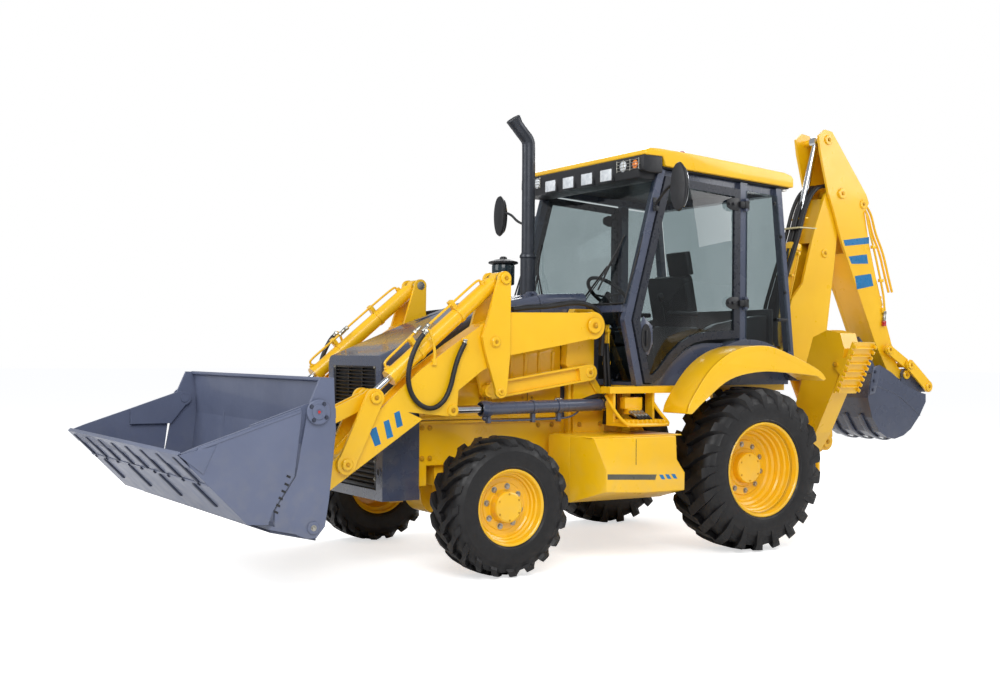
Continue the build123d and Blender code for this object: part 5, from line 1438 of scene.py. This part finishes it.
def hoe_bucket_trim():
    """Side seams, bolted side cutters and wear straps of the digging bucket."""
    seam = bent_pipe([mm(-2031, 301, 1231), mm(-2304, 301, 1176), mm(-2500, 301, 1080),
                      mm(-2708, 301, 938)], 7)
    cutter = plate([(-2078, 1380), (-2046, 1250), (-2028, 1130), (-2100, 1150), (-2150, 1290),
                    (-2170, 1392)],
                   (299, 309), 3)
    pair([seam, cutter], "hoe_bucket_cutters", SLATE, "hoe_bucket")
    spots = [(mm(x, 309, z), (0, 1, 0)) for x, z in ((-2100, 1340), (-2085, 1260), (-2070, 1180))]
    finished(both_sides(bolts(spots, 11)), "hoe_bucket_bolts", WORN_STEEL_AND_SHADE, "hoe_bucket")
    straps = [plate(eased([(-2052, 960), (-2176, 796), (-2373, 728), (-2590, 812), (-2712, 938)], 5)
                    + eased([(-2722, 946), (-2598, 802), (-2373, 716), (-2168, 786), (-2040, 954)], 5),
                    (y - 25, y + 25), 2) for y in (-180, 0, 180)]
    finished(joined(straps), "hoe_bucket_straps", SLATE, "hoe_bucket")


def pad_teeth():
    """Serrated grips along both edges of each stabilizer pad, and the fold between them."""
    low, high = Vector((0, 0.828, 1.172)), Vector((0, 1.030, 1.585))
    run = high - low
    out = Vector((0, run.z, -run.y)).normalized()
    along = run.normalized()
    for label, sign in LEFT_RIGHT:
        made = []
        for edge_x in (-1286, -1050):
            for i in range(9):
                foot = low + along * (0.02 + i * 0.049)
                corners = [foot, foot + along * 0.036, foot + along * 0.030 + out * 0.034,
                           foot + along * 0.006 + out * 0.034]
                points = [mm(edge_x, 0, 0) + Vector((0, sign * p.y, p.z)) for p in corners]
                made.append(prism(points, (0.011, 0, 0), 1))
        for i in range(6):
            foot = low + along * (0.06 + i * 0.07)
            corners = [foot, foot + along * 0.014, foot + along * 0.010 + out * 0.020,
                       foot + along * 0.004 + out * 0.020]
            points = [mm(-1270, 0, 0) + Vector((0, sign * p.y, p.z)) for p in corners]
            made.append(prism(points, (0.215, 0, 0), 1))
        finished(joined(made), f"pad_grips_{label}", YELLOW, f"pad_{label}")
        spots = [(mm(x, sign * 835, 1410), (1 if x > -1100 else -1, 0, 0)) for x in (-1031, -1289)]
        body = f"stabilizer_{label}"
        finished(bolts(spots, 14), f"pad_pin_bolts_{label}", BOLT, body)


STRAP = plain("pale_nylon_strap", "", "#D8CFA4", "#C9BE90", 0.6, grain=4, bump=0.3)

hoe_paint()
boom_hoses()
dipper_pipes()
cylinder_bands()
hoe_bucket_trim()
pad_teeth()

# ---- stage, lights and camera ---------------------------------------------------------
def background():
    """White world that also gives an even, plain fill."""
    world = bpy.data.worlds.new("studio")
    bpy.context.scene.world = world
    world.use_nodes = True
    tree = world.node_tree
    tree.nodes.clear()
    rays = node(tree, "ShaderNodeLightPath").outputs
    seen = node(tree, "ShaderNodeMath", {"operation": "MAXIMUM"})
    tree.links.new(rays["Is Camera Ray"], seen.inputs[0])
    tree.links.new(rays["Is Transmission Ray"], seen.inputs[1])
    fill = node(tree, "ShaderNodeBackground", inputs={"Color": linear("#F4F6FA"), "Strength": 0.45})
    white = node(tree, "ShaderNodeBackground", inputs={"Color": linear("#FFFFFF"), "Strength": 1.0})
    mix = node(tree, "ShaderNodeMixShader", links={"Fac": seen.outputs["Value"]})
    tree.links.new(fill.outputs["Background"], mix.inputs[1])
    tree.links.new(white.outputs["Background"], mix.inputs[2])
    out = node(tree, "ShaderNodeOutputWorld")
    tree.links.new(mix.outputs["Shader"], out.inputs["Surface"])


def floor_finish():
    """Pale matt studio floor: white where it is lit, with the soft shadow left in."""
    made, tree, out, _ = started("studio_floor", "floor")
    matt = node(tree, "ShaderNodeBsdfDiffuse", inputs={"Color": linear("#F2F2F2")})
    lift = node(tree, "ShaderNodeEmission", inputs={"Color": linear("#FFFFFF"), "Strength": 0.62})
    both = node(tree, "ShaderNodeAddShader")
    tree.links.new(matt.outputs["BSDF"], both.inputs[0])
    tree.links.new(lift.outputs["Emission"], both.inputs[1])
    rays = node(tree, "ShaderNodeLightPath").outputs
    mix = node(tree, "ShaderNodeMixShader", links={"Fac": rays["Is Camera Ray"]})
    tree.links.new(matt.outputs["BSDF"], mix.inputs[1])
    tree.links.new(both.outputs["Shader"], mix.inputs[2])
    tree.links.new(mix.outputs["Shader"], out.inputs["Surface"])
    return made


def studio():
    """White floor and four large soft lamps, with the key light on the machine's left."""
    deselect()
    bpy.ops.mesh.primitive_plane_add(size=200)
    floor = bpy.context.active_object
    floor.name = "floor"
    floor.data.materials.append(floor_finish())
    for place, target, size, power in (
            ((6.0, 9.0, 8.0), (0, 0, 1), 7.0, 900),
            ((9.0, -2.0, 6.0), (1, 0, 1), 6.0, 380),
            ((-7.0, -8.0, 7.0), (0, 0, 1), 7.0, 560),
            ((-7.0, 5.0, 6.0), (0, 0, 1), 5.0, 260)):
        deselect()
        bpy.ops.object.light_add(type="AREA", location=place)
        lamp = bpy.context.active_object
        lamp.data.size = size
        lamp.data.energy = power
        lamp.rotation_euler = (Vector(target) - Vector(place)).to_track_quat("-Z", "Y").to_euler()


def camera():
    """Eye height, three-quarter view of the loader end, with a normal lens."""
    yaw, pitch, roll = math.radians(-121.97), math.radians(0.28), math.radians(0.42)
    ahead = Vector((math.cos(pitch) * math.cos(yaw), math.cos(pitch) * math.sin(yaw), math.sin(pitch)))
    right = ahead.cross(Vector((0, 0, 1))).normalized()
    up = right.cross(ahead)
    turned_right = math.cos(roll) * right + math.sin(roll) * up
    turned_up = -math.sin(roll) * right + math.cos(roll) * up
    deselect()
    bpy.ops.object.camera_add()
    eye = bpy.context.active_object
    eye.data.lens = 45.68
    eye.data.sensor_width = 36
    rows = Matrix((turned_right, turned_up, -ahead)).transposed().to_4x4()
    eye.matrix_world = Matrix.Translation(mm(6740, 8144, 1477)) @ rows
    bpy.context.scene.camera = eye


background()
studio()
camera()
bpy.context.scene.view_settings.view_transform = "Standard"
